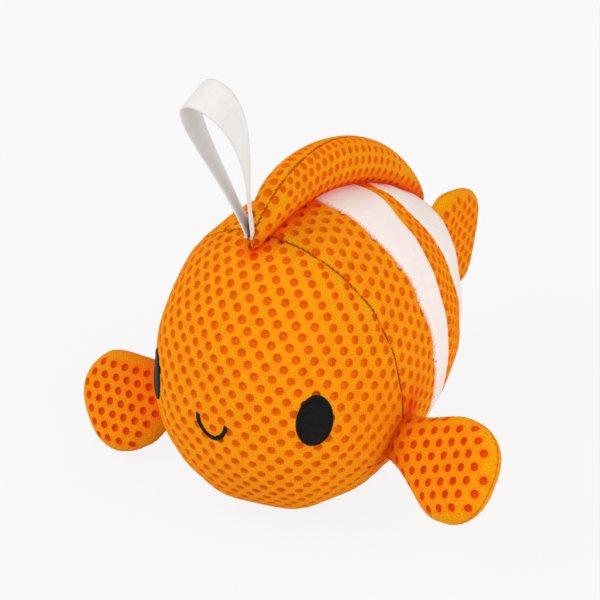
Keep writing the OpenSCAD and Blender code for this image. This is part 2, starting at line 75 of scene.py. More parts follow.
back = Vector((math.sin(AZIMUTH) * math.cos(ELEVATION),
               -math.cos(AZIMUTH) * math.cos(ELEVATION), math.sin(ELEVATION)))
level = Vector((math.cos(AZIMUTH), math.sin(AZIMUTH), 0))
rise = back.cross(level)
right = level * math.cos(ROLL) + rise * math.sin(ROLL)
up = rise * math.cos(ROLL) - level * math.sin(ROLL)
camera = bpy.data.objects.new("camera", bpy.data.cameras.new("camera"))
bpy.context.scene.collection.objects.link(camera)
camera.data.lens = FOCAL_PIXELS / PICTURE_SIDE * camera.data.sensor_width
camera.data.clip_start = 0.01
camera.matrix_world = Matrix.Translation(AIM + back * CAMERA_DISTANCE) @ (
    Matrix((right, up, back)).transposed().to_4x4())
bpy.context.scene.camera = camera
print("lens in mm:", round(camera.data.lens, 1))

# %% [markdown]
# ## Light and floor
# The toy stands on a white sweep in soft light. One large lamp above the camera's left shoulder gives
# the golden side of the face, a second one opposite opens the shaded side, and a pale world fills the
# rest. More light would bleach the cloth, so the floor and the world show their own white only to rays
# that come from the camera, a mirror or glass. The floor still takes a soft shadow.

# %% Light
bpy.context.scene.view_settings.view_transform = "Standard"
WORLD_TINT, WORLD_LEVEL, WORLD_SHOWN = (1.0, 0.99, 0.98, 1), 0.61, 0.95
KEY = dict(place=(-0.55, -0.75, 1.0), side=0.8, watts=7.2)
FILL = dict(place=(0.9, -0.1, 0.6), side=0.9, watts=4.6)


def soft_lamp(name, place, side, watts):
    """A square lamp that faces the middle of the toy."""
    lamp = bpy.data.objects.new(name, bpy.data.lights.new(name, "AREA"))
    bpy.context.scene.collection.objects.link(lamp)
    lamp.data.size = side
    lamp.data.energy = watts
    lamp.location = place
    lamp.rotation_euler = (AIM - lamp.location).to_track_quat("-Z", "Y").to_euler()


def add_node(tree, kind, inputs, **settings):
    """A new node with these settings, whose inputs take plain values or links from other nodes."""
    node = tree.nodes.new(kind)
    for setting, value in settings.items():
        setattr(node, setting, value)
    for socket, value in inputs.items():
        if isinstance(value, bpy.types.NodeSocket):
            tree.links.new(value, node.inputs[socket])
        else:
            node.inputs[socket].default_value = value
    return node


def shown_white(tree):
    """1 for rays that show the background: straight ones, mirrored ones and ones through glass."""
    path = add_node(tree, "ShaderNodeLightPath", {})
    total = path.outputs["Is Camera Ray"]
    for more in ("Is Glossy Ray", "Is Transmission Ray"):
        either = add_node(tree, "ShaderNodeMath", {0: total, 1: path.outputs[more]}, operation="MAXIMUM")
        total = either.outputs[0]
    return total


soft_lamp("key_lamp", **KEY)
soft_lamp("fill_lamp", **FILL)
world = bpy.data.worlds.new("studio")
bpy.context.scene.world = world
world.use_nodes = True
sky = world.node_tree.nodes["Background"]
sky.inputs["Color"].default_value = WORLD_TINT
levels = add_node(world.node_tree, "ShaderNodeMapRange",
                  {"Value": shown_white(world.node_tree), "To Min": WORLD_LEVEL, "To Max": WORLD_SHOWN})
world.node_tree.links.new(levels.outputs[0], sky.inputs["Strength"])

# %% Floor
FLOOR_HALF = 3.0
# The paper's own colour, the white that it shows to the camera and how much of that it shows
PAPER_WHITE, SHOWN_WHITE, FLOOR_GLOW = (0.92, 0.92, 0.92, 1), (0.947, 0.947, 0.947, 1), 0.92


def new_finish(name, **sockets):
    """A material with these plain values on its shader, and a function that adds a node to it."""
    material = bpy.data.materials.new(name)
    material.use_nodes = True
    shader = material.node_tree.nodes["Principled BSDF"]
    for socket, value in sockets.items():
        shader.inputs[socket.replace("_", " ")].default_value = value

    def add(kind, inputs, **settings):
        return add_node(material.node_tree, kind, inputs, **settings)

    return material, shader, add


floor_mesh = bpy.data.meshes.new("floor")
floor_mesh.from_pydata([(x, y, 0) for x, y in ((-1, -1), (1, -1), (1, 1), (-1, 1))], [], [(0, 1, 2, 3)])
floor_mesh.transform(Matrix.Scale(FLOOR_HALF, 4))
floor = bpy.data.objects.new("floor", floor_mesh)
bpy.context.scene.collection.objects.link(floor)
sweep, paper, add_to_sweep = new_finish("white_sweep", Base_Color=PAPER_WHITE, Roughness=0.9,
                                        Specular_IOR_Level=0.0)
glow = add_to_sweep("ShaderNodeEmission", {"Color": SHOWN_WHITE})
share = add_to_sweep("ShaderNodeMath", {0: shown_white(sweep.node_tree), 1: FLOOR_GLOW}, operation="MULTIPLY")
both = add_to_sweep("ShaderNodeMixShader", {0: share.outputs[0], 1: paper.outputs[0], 2: glow.outputs[0]})
sweep.node_tree.links.new(both.outputs[0], sweep.node_tree.nodes["Material Output"].inputs["Surface"])
floor.data.materials.append(sweep)
print("floor side in m:", 2 * FLOOR_HALF)

# %% [markdown]
# ## Finishes
# Air mesh is a knitted top layer with round holes over a second layer that shows, redder, at the
# bottom of each hole. Round each hole the knit is a close rim, and between the rims it is a more open
# net in two tones of its own. The white bands are smooth brushed knit, the loop is ribbed ribbon and
# the face is black satin stitch. Pictures of cloth could be mapped on, but the fine knit is made here
# from waves and noise that run along each panel's own flat measure in millimetres.

# %% Finishes
# Painted shade: the deep red that light takes on between orange cloth in the folds
PAINTED_FOLD_RED = (0.80, 0.02, 0.002, 1)
# A wave texture repeats after this length at a scale of 1
WAVE_LENGTH = 2 * math.pi / 20


def mixed(add, share, first, second):
    """A colour between two others."""
    return add("ShaderNodeMix", {0: share, 6: first, 7: second}, data_type="RGBA").outputs[2]


def cloth(name, dark, light, stitch_mm, relief_mm, roughness=0.9, sheen=0.1, painted_red_share=1.0, between=None):
    """Knitted cloth: columns of stitches a set width apart, uneven dye and a painted red shade in deep
    creases, where light bounces red between orange cloth.
    Between the rims of the holes an open net shows in two tones of its own."""
    material, shader, add = new_finish(
        name, Roughness=roughness, Sheen_Weight=sheen, Sheen_Roughness=0.5,
        Sheen_Tint=(*light, 1), Specular_IOR_Level=0.06)
    flat = add("ShaderNodeUVMap", {}, uv_map="flat_mm").outputs["UV"]
    wave_scale = WAVE_LENGTH / stitch_mm
    columns, courses = (
        add("ShaderNodeTexWave", {"Vector": flat, "Scale": wave_scale * closeness, "Distortion": 1.2,
                                  "Detail": 3.0, "Detail Scale": 2.0}, bands_direction=way)
        for way, closeness in (("X", 1.0), ("Y", 0.8)))
    stitches = add("ShaderNodeMath", {0: columns.outputs["Fac"], 1: courses.outputs["Fac"]},
                   operation="MULTIPLY")
    dye = add("ShaderNodeTexNoise", {"Vector": flat, "Scale": 0.25, "Detail": 5.0, "Roughness": 0.6})
    fibres = add("ShaderNodeTexNoise", {"Vector": flat, "Scale": 2.2, "Detail": 3.0})
    tone = add("ShaderNodeMath", {0: stitches.outputs[0], 1: 0.5, 2: dye.outputs["Fac"]},
               operation="MULTIPLY_ADD")
    spread = add("ShaderNodeMapRange", {"Value": tone.outputs[0], "From Min": 0.35, "From Max": 0.85})
    colour = mixed(add, spread.outputs[0], (*dark, 1), (*light, 1))
    if between:
        net = add("ShaderNodeTexNoise", {"Vector": flat, "Scale": 2.2, "Detail": 2.0, "Roughness": 0.7})
        specks = add("ShaderNodeMapRange", {"Value": net.outputs["Fac"], "From Min": 0.4, "From Max": 0.58})
        open_net = mixed(add, specks.outputs[0], (*between[0], 1), (*between[1], 1))
        gap = add("ShaderNodeAttribute", {}, attribute_name="gap").outputs["Fac"]
        colour = mixed(add, gap, colour, open_net)
    # Painted red shade: the crease mark pulls the colour towards the deep red of light bounced in the folds
    crease = add("ShaderNodeAttribute", {}, attribute_name="crease").outputs["Fac"]
    depth = add("ShaderNodeMath", {0: crease, 1: painted_red_share}, operation="MULTIPLY").outputs[0]
    height = add("ShaderNodeMath", {0: fibres.outputs["Fac"], 1: 0.6, 2: stitches.outputs[0]},
                 operation="MULTIPLY_ADD")
    bump = add("ShaderNodeBump", {"Height": height.outputs[0], "Strength": 0.7,
                                  "Distance": relief_mm * MM})
    material.node_tree.links.new(mixed(add, depth, colour, PAINTED_FOLD_RED), shader.inputs["Base Color"])
    material.node_tree.links.new(bump.outputs[0], shader.inputs["Normal"])
    return material


def spun(name, dark, light, grain, roughness, **sockets):
    """Thread, fibre or moulded plastic: two tones and a fine relief of one grain, in the toy's space."""
    material, shader, add = new_finish(name, Roughness=roughness, **sockets)
    place = add("ShaderNodeTexCoord", {}).outputs["Object"]
    speck = add("ShaderNodeTexNoise", {"Vector": place, "Scale": grain, "Detail": 4.0})
    colour = mixed(add, speck.outputs["Fac"], (*dark, 1), (*light, 1))
    bump = add("ShaderNodeBump", {"Height": speck.outputs["Fac"], "Strength": 0.3, "Distance": 0.05 * MM})
    material.node_tree.links.new(colour, shader.inputs["Base Color"])
    material.node_tree.links.new(bump.outputs[0], shader.inputs["Normal"])
    return material


print("stitch columns in a millimetre at a scale of 1:", round(1 / WAVE_LENGTH, 2))

# %% Colours of the cloth, the thread and the squeaker
OPEN_NET = (0.72, 0.26, 0.001), (0.93, 0.37, 0.003)
ORANGE_TOP = cloth("orange_top_layer", (0.86, 0.21, 0.002), (0.95, 0.325, 0.003), 0.8, 0.2, between=OPEN_NET)
ORANGE_UNDER = cloth("orange_under_layer", (0.74, 0.13, 0.002), (0.88, 0.20, 0.003), 0.6, 0.1)
# Both layers are drawn redder and darker on the fins than on the body: painted shade and painted red light
# bounced onto the fins from the body
FIN_TOP = cloth("fin_top_layer", (0.86, 0.18, 0.002), (0.95, 0.285, 0.003), 0.8, 0.2, between=OPEN_NET)
FIN_UNDER = cloth("red_under_layer", (0.68, 0.06, 0.001), (0.84, 0.11, 0.002), 0.6, 0.1)
# The white bands take less of the painted red shade of the folds
WHITE_BAND = cloth("white_band", (0.88, 0.77, 0.73), (0.93, 0.84, 0.80), 0.7, 0.06, painted_red_share=0.4)
RIBBON = cloth("white_ribbon", (0.75, 0.72, 0.70), (0.83, 0.81, 0.80), 0.4, 0.04, roughness=0.7)
BLACK_THREAD = spun("black_thread", (0.001, 0.001, 0.001), (0.009, 0.007, 0.008), 900, 0.5,
                    Specular_IOR_Level=0.12)
ORANGE_THREAD = spun("orange_thread", (0.60, 0.10, 0.005), (0.85, 0.24, 0.010), 1500, 0.7,
                     Specular_IOR_Level=0.08)
RED_THREAD = spun("seam_thread", (0.42, 0.030, 0.001), (0.68, 0.09, 0.002), 1500, 0.9,
                  Specular_IOR_Level=0.02)
FIBRE = spun("stuffing_fibre", (0.80, 0.79, 0.75), (0.95, 0.94, 0.91), 400, 0.95)
SOFT_PLASTIC = spun("soft_plastic", (0.55, 0.68, 0.80), (0.66, 0.78, 0.88), 150, 0.45)
PLUG_PLASTIC = spun("plug_plastic", (0.85, 0.85, 0.84), (0.93, 0.93, 0.92), 200, 0.3)
REED_FILM = spun("reed_film", (0.02, 0.02, 0.02), (0.05, 0.05, 0.05), 300, 0.25)
print("finishes:", len(bpy.data.materials))

# %% [markdown]
# ## The body's form
# A stuffed cover takes a smooth full shape. A simulation could blow one up, but the frame already
# states the form that the picture shows: sections that are half ellipses above and below an axis,
# which round to the nose in front and taper to the tail seam behind. A few long, low waves are added
# for the lumps of the filling, so that no outline is perfect. All measures are in millimetres.

# %% Body form
AXIS_Z = 37.5
FACE_L, FACE_POWER = 41.5, 2.25
REAR_L = 85.0
# Full size, size at the tail seam and fullness of the half width, the back and the belly
WIDTH, BACK, BELLY = (39.0, 4.5, 2.3), (55.0, 12.5, 1.95), (38.0, 9.0, 3.2)


def body_sizes(y):
    """Half width, height above the axis and depth below it, at places along the body."""
    nose = (1 - np.clip(-y / FACE_L, 0, 1) ** FACE_POWER) ** (1 / FACE_POWER)
    return [np.where(y < 0, full * nose, end + (full - end) * (1 - np.clip(y / REAR_L, 0, 1) ** power))
            for full, end, power in (WIDTH, BACK, BELLY)]


def body_point(y, a):
    """Point of the cover: a is 0 along the back, a quarter turn at the left flank, half a turn below."""
    half_w, high, low = body_sizes(y)
    return np.stack([half_w * np.sin(a), y + 0 * a,
                     AXIS_Z + np.where(np.cos(a) > 0, high, low) * np.cos(a)], -1)


def unit(vectors):
    """The same directions, one unit long."""
    return vectors / np.maximum(np.linalg.norm(vectors, axis=-1, keepdims=True), 1e-12)


def body_normal(points):
    """Outward direction of the cover at points on it."""
    x, y, z = points[:, 0], points[:, 1], points[:, 2] - AXIS_Z
    half_w, high, low = body_sizes(y)
    tall = np.where(z > 0, high, low)
    full_tall = np.where(z > 0, BACK[0], BELLY[0])
    section = np.maximum(np.hypot(x / WIDTH[0], z / full_tall), 1e-9) ** (FACE_POWER - 2)
    face = np.stack([section * x / WIDTH[0] ** 2,
                     -np.clip(-y / FACE_L, 0, 1) ** (FACE_POWER - 1) / FACE_L,
                     section * z / full_tall ** 2], -1)
    along = np.clip(y / REAR_L, 0, 1)
    thinning = [(full - end) * power * along ** (power - 1) / REAR_L
                for full, end, power in (WIDTH, BACK, BELLY)]
    tall_thins = np.where(z > 0, thinning[1], thinning[2])
    half_w, tall = np.maximum(half_w, 1e-6), np.maximum(tall, 1e-6)
    rear = np.stack([x / half_w ** 2, x ** 2 * thinning[0] / half_w ** 3 + z ** 2 * tall_thins / tall ** 3,
                     z / tall ** 2], -1)
    return unit(np.where((y < 0)[:, None], face, rear))


print("body length in mm:", FACE_L + REAR_L)

# %% Lumps and seams
# The filling pushes the cloth out unevenly: a few long waves in directions of their own
LUMP_MM, LUMP_WAVES, LUMP_LENGTHS = 0.11, 9, (12.0, 26.0)
lump_draws = np.random.default_rng(45)
LUMP_RUNS = unit(lump_draws.normal(size=(LUMP_WAVES, 3))) * 2 * math.pi / lump_draws.uniform(
    *LUMP_LENGTHS, (LUMP_WAVES, 1))
LUMP_STARTS = lump_draws.uniform(0, 2 * math.pi, LUMP_WAVES)


def lumps(points):
    """How far the filling pushes the cloth out at points of the toy."""
    return LUMP_MM * np.sin(points @ LUMP_RUNS.T + LUMP_STARTS).sum(-1)


def stuffed(points, normals):
    """Points of the smooth form, moved out or in by the lumps of the filling."""
    return points + normals * lumps(points)[..., None]


SEAM_BOW = 2.4
# Place of each seam along the body at the back, the flank and the belly
GILL = (-13.5, -3.0, 2.0)
STRIPE1 = (9.52, 17.6, 23.97), (32.47, 30.5, 34.0)
STRIPE2 = (38.5, 47.5, 49.98), (68.0, 70.98, 72.0)
TAIL_SEAM = (REAR_L,) * 3


def seam_place(edge, a):
    """Where a seam lies along the body, at angles round it."""
    return edge[1] + (np.where(np.cos(a) > 0, edge[0], edge[2]) - edge[1]) * np.abs(np.cos(a)) ** SEAM_BOW


def running_length(line):
    """Length along a line of points, at each of them."""
    return np.concatenate([[0], np.cumsum(np.linalg.norm(np.diff(line, axis=0), axis=1))])


ring = np.radians(np.arange(0, 360, 2.0))
gill_line = body_point(seam_place(GILL, ring), ring)
gill_line = stuffed(gill_line, body_normal(gill_line))
print("gill seam in mm:", round(float(running_length(gill_line)[-1])))

# %% [markdown]
# ## Cutting a panel from flat cloth
# A panel starts as an outline on flat cloth with the holes drawn on it. The flat sheet is filled with
# triangles that keep to the outline and to the rings of each hole, and every point is then lifted to
# the body, pressed in where it is part of a hole and tucked down where it nears a seam. A lining on
# the inside closes it, so the panel is a solid piece of spacer cloth. A displaced grid would be
# shorter to write, but its holes would have ragged rims.

# %% Flat cloth
# How many distances are held in memory at once
PAIRS_AT_ONCE = 2_000_000


def nearest(points, others):
    """For each point, the number of the nearest of the others and how far away it is."""
    numbers, gaps = [], []
    for part in np.array_split(points, len(points) * len(others) // PAIRS_AT_ONCE + 1):
        between = np.linalg.norm(part[:, None] - others[None], axis=2)
        numbers.append(between.argmin(1))
        gaps.append(between.min(1))
    return np.concatenate(numbers), np.concatenate(gaps)


def inside(points, outline):
    """Which flat points lie within a closed outline."""
    x, y = points.T
    within = np.zeros(len(points), bool)
    for (x0, y0), (x1, y1) in zip(outline, np.roll(outline, -1, 0)):
        if y0 != y1:
            within ^= ((y0 > y) != (y1 > y)) & (x < (x1 - x0) * (y - y0) / (y1 - y0) + x0)
    return within


def change(function, flat, step):
    """How much a function of flat points changes over a step each way, along the cloth and across it."""
    return [function(flat + move) - function(flat - move) for move in ((step, 0), (0, step))]


def flat_measure(chart, spots, step=0.05):
    """For spots on flat cloth, the 2 by 2 matrix from steps on the cloth to millimetres on the toy."""
    runs = np.stack([run / (2 * step) for run in change(lambda flat: chart(flat)[0], spots, step)], -1)
    first = unit(runs[:, :, 0])
    second = unit(np.cross(np.cross(runs[:, :, 0], runs[:, :, 1]), first))
    return np.stack([first, second], 1) @ runs


square = np.array([(0.0, 0.0), (2.0, 0.0), (2.0, 2.0), (0.0, 2.0)])
print("does the middle of a square lie within it:", inside(square.mean(0)[None], square)[0])

# %% Holes in the cloth
RIM_POINTS = 14
# Radius of the rings of a hole and how deep each lies, from the middle out over the raised rim
HOLE_RADII = np.array([0.0, 0.92, 1.15, 1.28, 1.42, 1.75])
HOLE_DEPTHS = np.array([0.85, 0.95, 0.55, 0.1, -0.08, 0.0])
# Space that a hole takes, and the share of it at which holes are too crowded to keep
HOLE_SPACE, CROWDED = 2 * HOLE_RADII[-1] + 0.1, 0.72


def hole_rows(outline, pitch, row_gap, turn, start=(0.0, 0.0)):
    """Hole places on flat cloth: rows a set gap apart, every other row moved on by half a pitch."""
    low, high = outline.min(0), outline.max(0)
    reach = np.linalg.norm(np.subtract(high, low))
    rows = np.arange(-int(reach / row_gap), int(reach / row_gap) + 1)
    columns = np.arange(-int(reach / pitch), int(reach / pitch) + 1)
    row, column = np.meshgrid(rows, columns, indexing="ij")
    flat = np.stack([(column + row % 2 / 2) * pitch + start[0], row * row_gap + start[1]], -1).reshape(-1, 2)
    c, s = math.cos(math.radians(turn)), math.sin(math.radians(turn))
    return flat @ np.array([[c, s], [-s, c]]) + (np.add(low, high) / 2)


def keep_apart(places, least):
    """Numbers of the places that keep at least this far from every place kept before."""
    kept = []
    for number, place in enumerate(places):
        if not kept or np.linalg.norm(places[kept] - place, axis=1).min() >= least:
            kept.append(number)
    return kept


def fit_holes(chart, outline, holes, clear, hole_size):
    """The holes that lie within an outline, the cloth's measure at each and how large each can be."""
    holes = holes[inside(holes, outline)]
    holes = holes[nearest(holes, outline)[1] > clear]
    places = chart(holes)[0]
    kept = keep_apart(places, CROWDED * HOLE_SPACE)
    holes, places = holes[kept], places[kept]
    apart = np.sort(np.linalg.norm(places[:, None] - places[None], axis=2), axis=1)[:, 1]
    return holes, flat_measure(chart, holes), hole_size * np.minimum(1, apart / HOLE_SPACE)


def from_hole(flat, fitted):
    """Distance of flat points from the nearest hole, in the measure of that hole's rings."""
    holes, measure, sizes = fitted
    number, _ = nearest(flat, holes)
    steps = np.einsum("nij,nj->ni", measure[number], flat - holes[number])
    return np.linalg.norm(steps, axis=1) / sizes[number]


def hole_rings(fitted):
    """Points of the rings of all holes, one ring after the other."""
    holes, measure, sizes = fitted
    turn = np.arange(RIM_POINTS) * 2 * math.pi / RIM_POINTS
    around = np.stack([np.cos(turn), np.sin(turn)], -1)
    steps = np.einsum("hij,rj->hri", np.linalg.inv(measure), around) * sizes[:, None, None]
    return np.concatenate([(holes[:, None] + radius * steps).reshape(-1, 2) for radius in HOLE_RADII[1:]])


print("rings of a hole:", len(HOLE_RADII) - 1, "space in mm:", HOLE_SPACE)

# %% Triangles and meshes
FILL_STEP = 1.5
# Rows of points beside an edge, for the roll into a seam, and how far they and the grid keep off it
TUCK_ROWS = (0.3, 0.7, 1.2, 1.8)
ROWS_CLEAR, GRID_CLEAR = TUCK_ROWS[0] * 0.8, TUCK_ROWS[-1] + 0.3


def fill_flat(points, edges):
    """Triangles of flat points that keep to the edges: points, triangles and where each came from."""
    made = geometry.delaunay_2d_cdt([Vector(p) for p in points], edges, [], 0, 1e-6)
    return np.array([tuple(v) for v in made[0]]), np.array(made[2], int), made[3]


def loop_edges(start, count):
    """Edges that run round a closed row of points."""
    return [(start + k, start + (k + 1) % count) for k in range(count)]


def fill_points(outline):
    """Rows of points along the outline, and an even grid over the rest of the cloth."""
    low, high = outline.min(0), outline.max(0)
    grid = np.stack(np.meshgrid(*[np.arange(a, b, FILL_STEP) for a, b in zip(low, high)]), -1).reshape(-1, 2)
    grid[:, 0] += FILL_STEP / 2 * (np.round((grid[:, 1] - low[1]) / FILL_STEP) % 2)
    grid = grid[inside(grid, outline)]
    grid = grid[nearest(grid, outline)[1] > GRID_CLEAR]
    ahead, behind = np.roll(outline, -1, 0), np.roll(outline, 1, 0)
    inward = unit(np.stack([behind[:, 1] - ahead[:, 1], ahead[:, 0] - behind[:, 0]], -1))
    rows = np.concatenate([outline + way * depth * inward for way in (1, -1) for depth in TUCK_ROWS])
    rows = rows[inside(rows, outline)]
    return rows[nearest(rows, outline)[1] > ROWS_CLEAR], grid


def face_out(triangles, points, outward):
    """The same triangles, all turned to face outwards."""
    a, b, c = (points[triangles[:, k]] for k in range(3))
    return triangles[:, ::-1] if (np.cross(b - a, c - a) * outward[triangles[:, 0]]).sum() < 0 else triangles


def link_mesh(name, points_mm, faces, finishes, flat=None, finish_of=None, marks=None):
    """A smooth mesh object from points in millimetres: flat measures become UVs, marks become attributes."""
    mesh = bpy.data.meshes.new(name)
    mesh.from_pydata((np.asarray(points_mm) * MM).tolist(), [], [tuple(int(i) for i in f) for f in faces])
    for material in finishes:
        mesh.materials.append(material)
    if finish_of is not None:
        mesh.polygons.foreach_set("material_index", finish_of)
    if flat is not None:
        corners = np.zeros(len(mesh.loops), np.int32)
        mesh.loops.foreach_get("vertex_index", corners)
        flat_of_corners = np.asarray(flat, np.float32)[corners].ravel()
        mesh.uv_layers.new(name="flat_mm").data.foreach_set("uv", flat_of_corners)
    for mark, values in (marks or {}).items():
        mesh.attributes.new(mark, "FLOAT", "POINT").data.foreach_set("value", values.astype(np.float32))
    mesh.polygons.foreach_set("use_smooth", [True] * len(mesh.polygons))
    mesh.update()
    piece = bpy.data.objects.new(name, mesh)
    bpy.context.scene.collection.objects.link(piece)
    return piece


print("rows of points beside an edge:", len(TUCK_ROWS))

# %% [markdown]
# ## Closing a panel
# Spacer cloth has a thickness, and a bare sheet would look like paper at its edges. A solidify modifier
# could thicken it, but would carry every hole through to the inside. So the outer cloth gets a lining
# that follows its edge, and a wall joins the two. The finished panel is then set in the frame: which
# solid it stands for and which body it moves with.

# %% Cut a panel
# Lines where the cloth is drawn in by a sewn-on piece, each with the width of the red shade painted round it
drawn_in = []
# The lining takes only one in so many points of the cloth's grid
LINING_SPARED = 7
# Inside this radius a hole shows the under layer
UNDER_LAYER_R = 1.22
# Where the net between the rims begins and where it is all open, as distances from a hole
NET_FROM, NET_TO = 1.65, 2.35
# How far a hole keeps off the edge, and the points of the grid off a hole
HOLE_CLEAR, RING_CLEAR = 0.3, HOLE_RADII[-1] + 0.25


def red_shade(points, reach):
    """How deep in a crease points lie, as the share of painted red shade they take: from 0 on open cloth to 1
    where a piece is sewn on.
    """
    shade = [np.clip(1 - nearest(points, line)[1] / width / reach, 0, 1) ** 2 for line, width in drawn_in]
    return np.max(shade, axis=0) if shade else np.zeros(len(points))


def close_panel(flat, triangles, grid, lining, chart, outline):
    """Lining points, lining triangles and the walls that join them to the edge of the outer cloth."""
    sides = np.concatenate([triangles[:, [0, 1]], triangles[:, [1, 2]], triangles[:, [2, 0]]])
    codes = sides[:, 0] * len(flat) + sides[:, 1]
    rim = sides[~np.isin(codes, sides[:, 1] * len(flat) + sides[:, 0])]
    rim_points, rim_edges = np.unique(rim, return_inverse=True)
    rim_edges = rim_edges.reshape(-1, 2)
    inner_flat, inner_triangles, came_from = fill_flat(
        np.concatenate([flat[rim_points], grid[::LINING_SPARED]]), rim_edges.tolist())
    inner_triangles = inner_triangles[inside(inner_flat[inner_triangles].mean(1), outline)]
    inner_of = np.zeros(len(rim_points), int)
    for place, origins in enumerate(came_from):
        for origin in origins:
            if origin < len(rim_points):
                inner_of[origin] = place
    inner = lining(inner_flat)
    inner_triangles = face_out(inner_triangles, inner, -chart(inner_flat)[1]) + len(flat)
    walls = [(b, a, len(flat) + inner_of[i], len(flat) + inner_of[j])
             for (a, b), (i, j) in zip(rim, rim_edges)]
    return inner_flat, inner, [*inner_triangles.tolist(), *walls]


def cut_panel(name, chart, lining, outline, holes, tuck, finishes, clear=HOLE_CLEAR, creases=(),
              hole_size=1.0, red_reach=1.0):
    """A panel of cloth: chart lays flat points on the toy with their outward direction, lining gives the
    inside, tuck is the depth and width of the roll into the seam at each outline point."""
    rows, grid = fill_points(outline)
    extra = np.concatenate([rows, grid])
    points, edges = [outline], loop_edges(0, len(outline))
    if len(holes):
        fitted = fit_holes(chart, outline, holes, clear, hole_size)
        holes = fitted[0]
        rings = hole_rings(fitted)
        for ring_number in range(len(rings) // RIM_POINTS):
            edges += loop_edges(len(outline) + ring_number * RIM_POINTS, RIM_POINTS)
        points += [rings, holes]
        extra = extra[from_hole(extra, fitted) > RING_CLEAR]
    flat, triangles, _ = fill_flat(np.concatenate([*points, extra]), edges)
    triangles = triangles[inside(flat[triangles].mean(1), outline)]
    used, triangles = np.unique(triangles, return_inverse=True)
    flat, triangles = flat[used], triangles.reshape(-1, 3)

    laid, outward = chart(flat)
    triangles = face_out(triangles, laid, outward)
    depth, gap_share, in_hole = np.zeros(len(flat)), np.zeros(len(flat)), np.zeros(len(triangles), int)
    if len(holes):
        away = from_hole(flat, fitted)
        depth = np.interp(away, HOLE_RADII, HOLE_DEPTHS)
        gap_share = np.clip((away - NET_FROM) / (NET_TO - NET_FROM), 0, 1)
        in_hole = (from_hole(flat[triangles].mean(1), fitted) < UNDER_LAYER_R).astype(int)
    number, gap = nearest(laid, chart(outline)[0])
    roll = np.clip(1 - gap / tuck[1][number], 0, 1)
    depth += tuck[0][number] * (1 - np.sqrt(1 - roll ** 2))
    for crease, crease_depth, crease_width in creases:
        depth += crease_depth * np.clip(1 - nearest(laid, crease)[1] / crease_width, 0, 1) ** 2
    inner_flat, inner, more_faces = close_panel(flat, triangles, grid, lining, chart, outline)
    outer = laid - outward * depth[:, None]
    # The crease mark carries the painted red shade of nearby folds onto the outer cloth
    piece = link_mesh(name, np.concatenate([outer, inner]), [*triangles.tolist(), *more_faces], finishes,
                      np.concatenate([flat, inner_flat]), np.append(in_hole, np.zeros(len(more_faces), int)),
                      dict(crease=np.append(red_shade(laid, red_reach), np.zeros(len(inner))),
                           gap=np.append(gap_share, np.zeros(len(inner)))))
    print(name, "holes:", len(holes), "faces:", len(triangles) + len(more_faces))
    return piece


print("the net between holes opens in mm:", round(NET_TO - NET_FROM, 2))


def ride(piece, body):
    """Lets a piece move with its body; pieces of the dorsal fin only have their place baked into their
    points.
    """
    if body == "dorsal_fin":
        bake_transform(piece)
    else:
        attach(piece, body)


def dress(piece, node, body):
    """Sets a finished piece in the frame: what it replaces and what it rides on."""
    ride(piece, body)
    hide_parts(node)
    return piece


def squeeze(piece):
    """Gives the piece a mesh of its own."""
    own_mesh(piece)


# %% [markdown]
# ## Where the fins are sewn on
# The fins are caught in the seams of the body, and the stuffed cloth swells round them. Light that falls
# into these folds goes from orange cloth to orange cloth and comes out red, and here that red is painted
# into the cloth's colour as a shade. The lines of the folds are set first, because every panel that comes
# near one takes its painted red shade from it.

# %% Sewn-on lines
SIDES = (("left", 1), ("right", -1))
FIN_SWEEP, FIN_TURN = 20, 36
FIN_DROOP = {"left": -7, "right": 34}
FIN_ROOT = np.array([37.83, -4.7, AXIS_Z - 8.7])
FIN_ROOT_HALF_W = 7.2
# Widths of the painted red shade round the fin roots and along the foot of the dorsal fin
FIN_FOLD_W, BACK_FOLD_W = 12.0, 6.5
# How far a side fin reaches to the middle of its round end, and how much its root slips down along the seam
FIN_REACH = {"left": 25.0, "right": 21.3}
FIN_SLIP = {"left": -0.06, "right": 0.2}
DORSAL_FRONT, DORSAL_REAR, DORSAL_FOOT = -19.5, 76.0, 3.6


def fin_axes(side_name, side):
    """Directions out along a side fin, across it and square to it."""
    sweep, turn, droop = (math.radians(angle) for angle in (FIN_SWEEP, FIN_TURN, FIN_DROOP[side_name]))
    out = np.array([math.cos(droop) * math.cos(sweep), -math.cos(droop) * math.sin(sweep), -math.sin(droop)])
    down = unit(np.array([0, 0, -1]) + out * out[2])
    across = down * math.cos(turn) - np.cross(out, down) * math.sin(turn)
    return [axis * (side, 1, 1) for axis in (out, across, np.cross(out, across))]


for side_name, side in SIDES:
    reach = np.linspace(-1.1, 1.1, 30)[:, None] * FIN_ROOT_HALF_W + FIN_SLIP[side_name] * FIN_REACH[side_name]
    drawn_in.append((FIN_ROOT * (side, 1, 1) + reach * fin_axes(side_name, side)[1], FIN_FOLD_W))
    foot_y = np.linspace(DORSAL_FRONT, DORSAL_REAR, 90)
    foot_x = side * DORSAL_FOOT * (1 - np.linspace(1, -1, 90) ** 6)
    drawn_in.append((np.stack([foot_x, foot_y, AXIS_Z + body_sizes(foot_y)[1]], -1), BACK_FOLD_W))
print("folds:", len(drawn_in))

# %% [markdown]
# ## The face
# The face is one panel that domes over the nose and ends at the gill seam, where a short dart under
# each cheek takes in the fullness. Its cloth is pulled wide by the stuffing, so the rows of holes lie
# closer than the holes in a row. The flat measure is taken outwards from the nose along the surface,
# as a map of the pole is drawn, because that keeps the rows even all over the dome.

# %% Measure of the face
# Step and reach of the measure from the nose, and how far past the face it is taken
NOSE_STEP, NOSE_REACH, PAST_FACE = 0.25, 90, 12
nose_turns = np.radians(np.arange(-180, 181))
nose_lengths = np.arange(0, NOSE_REACH, NOSE_STEP)


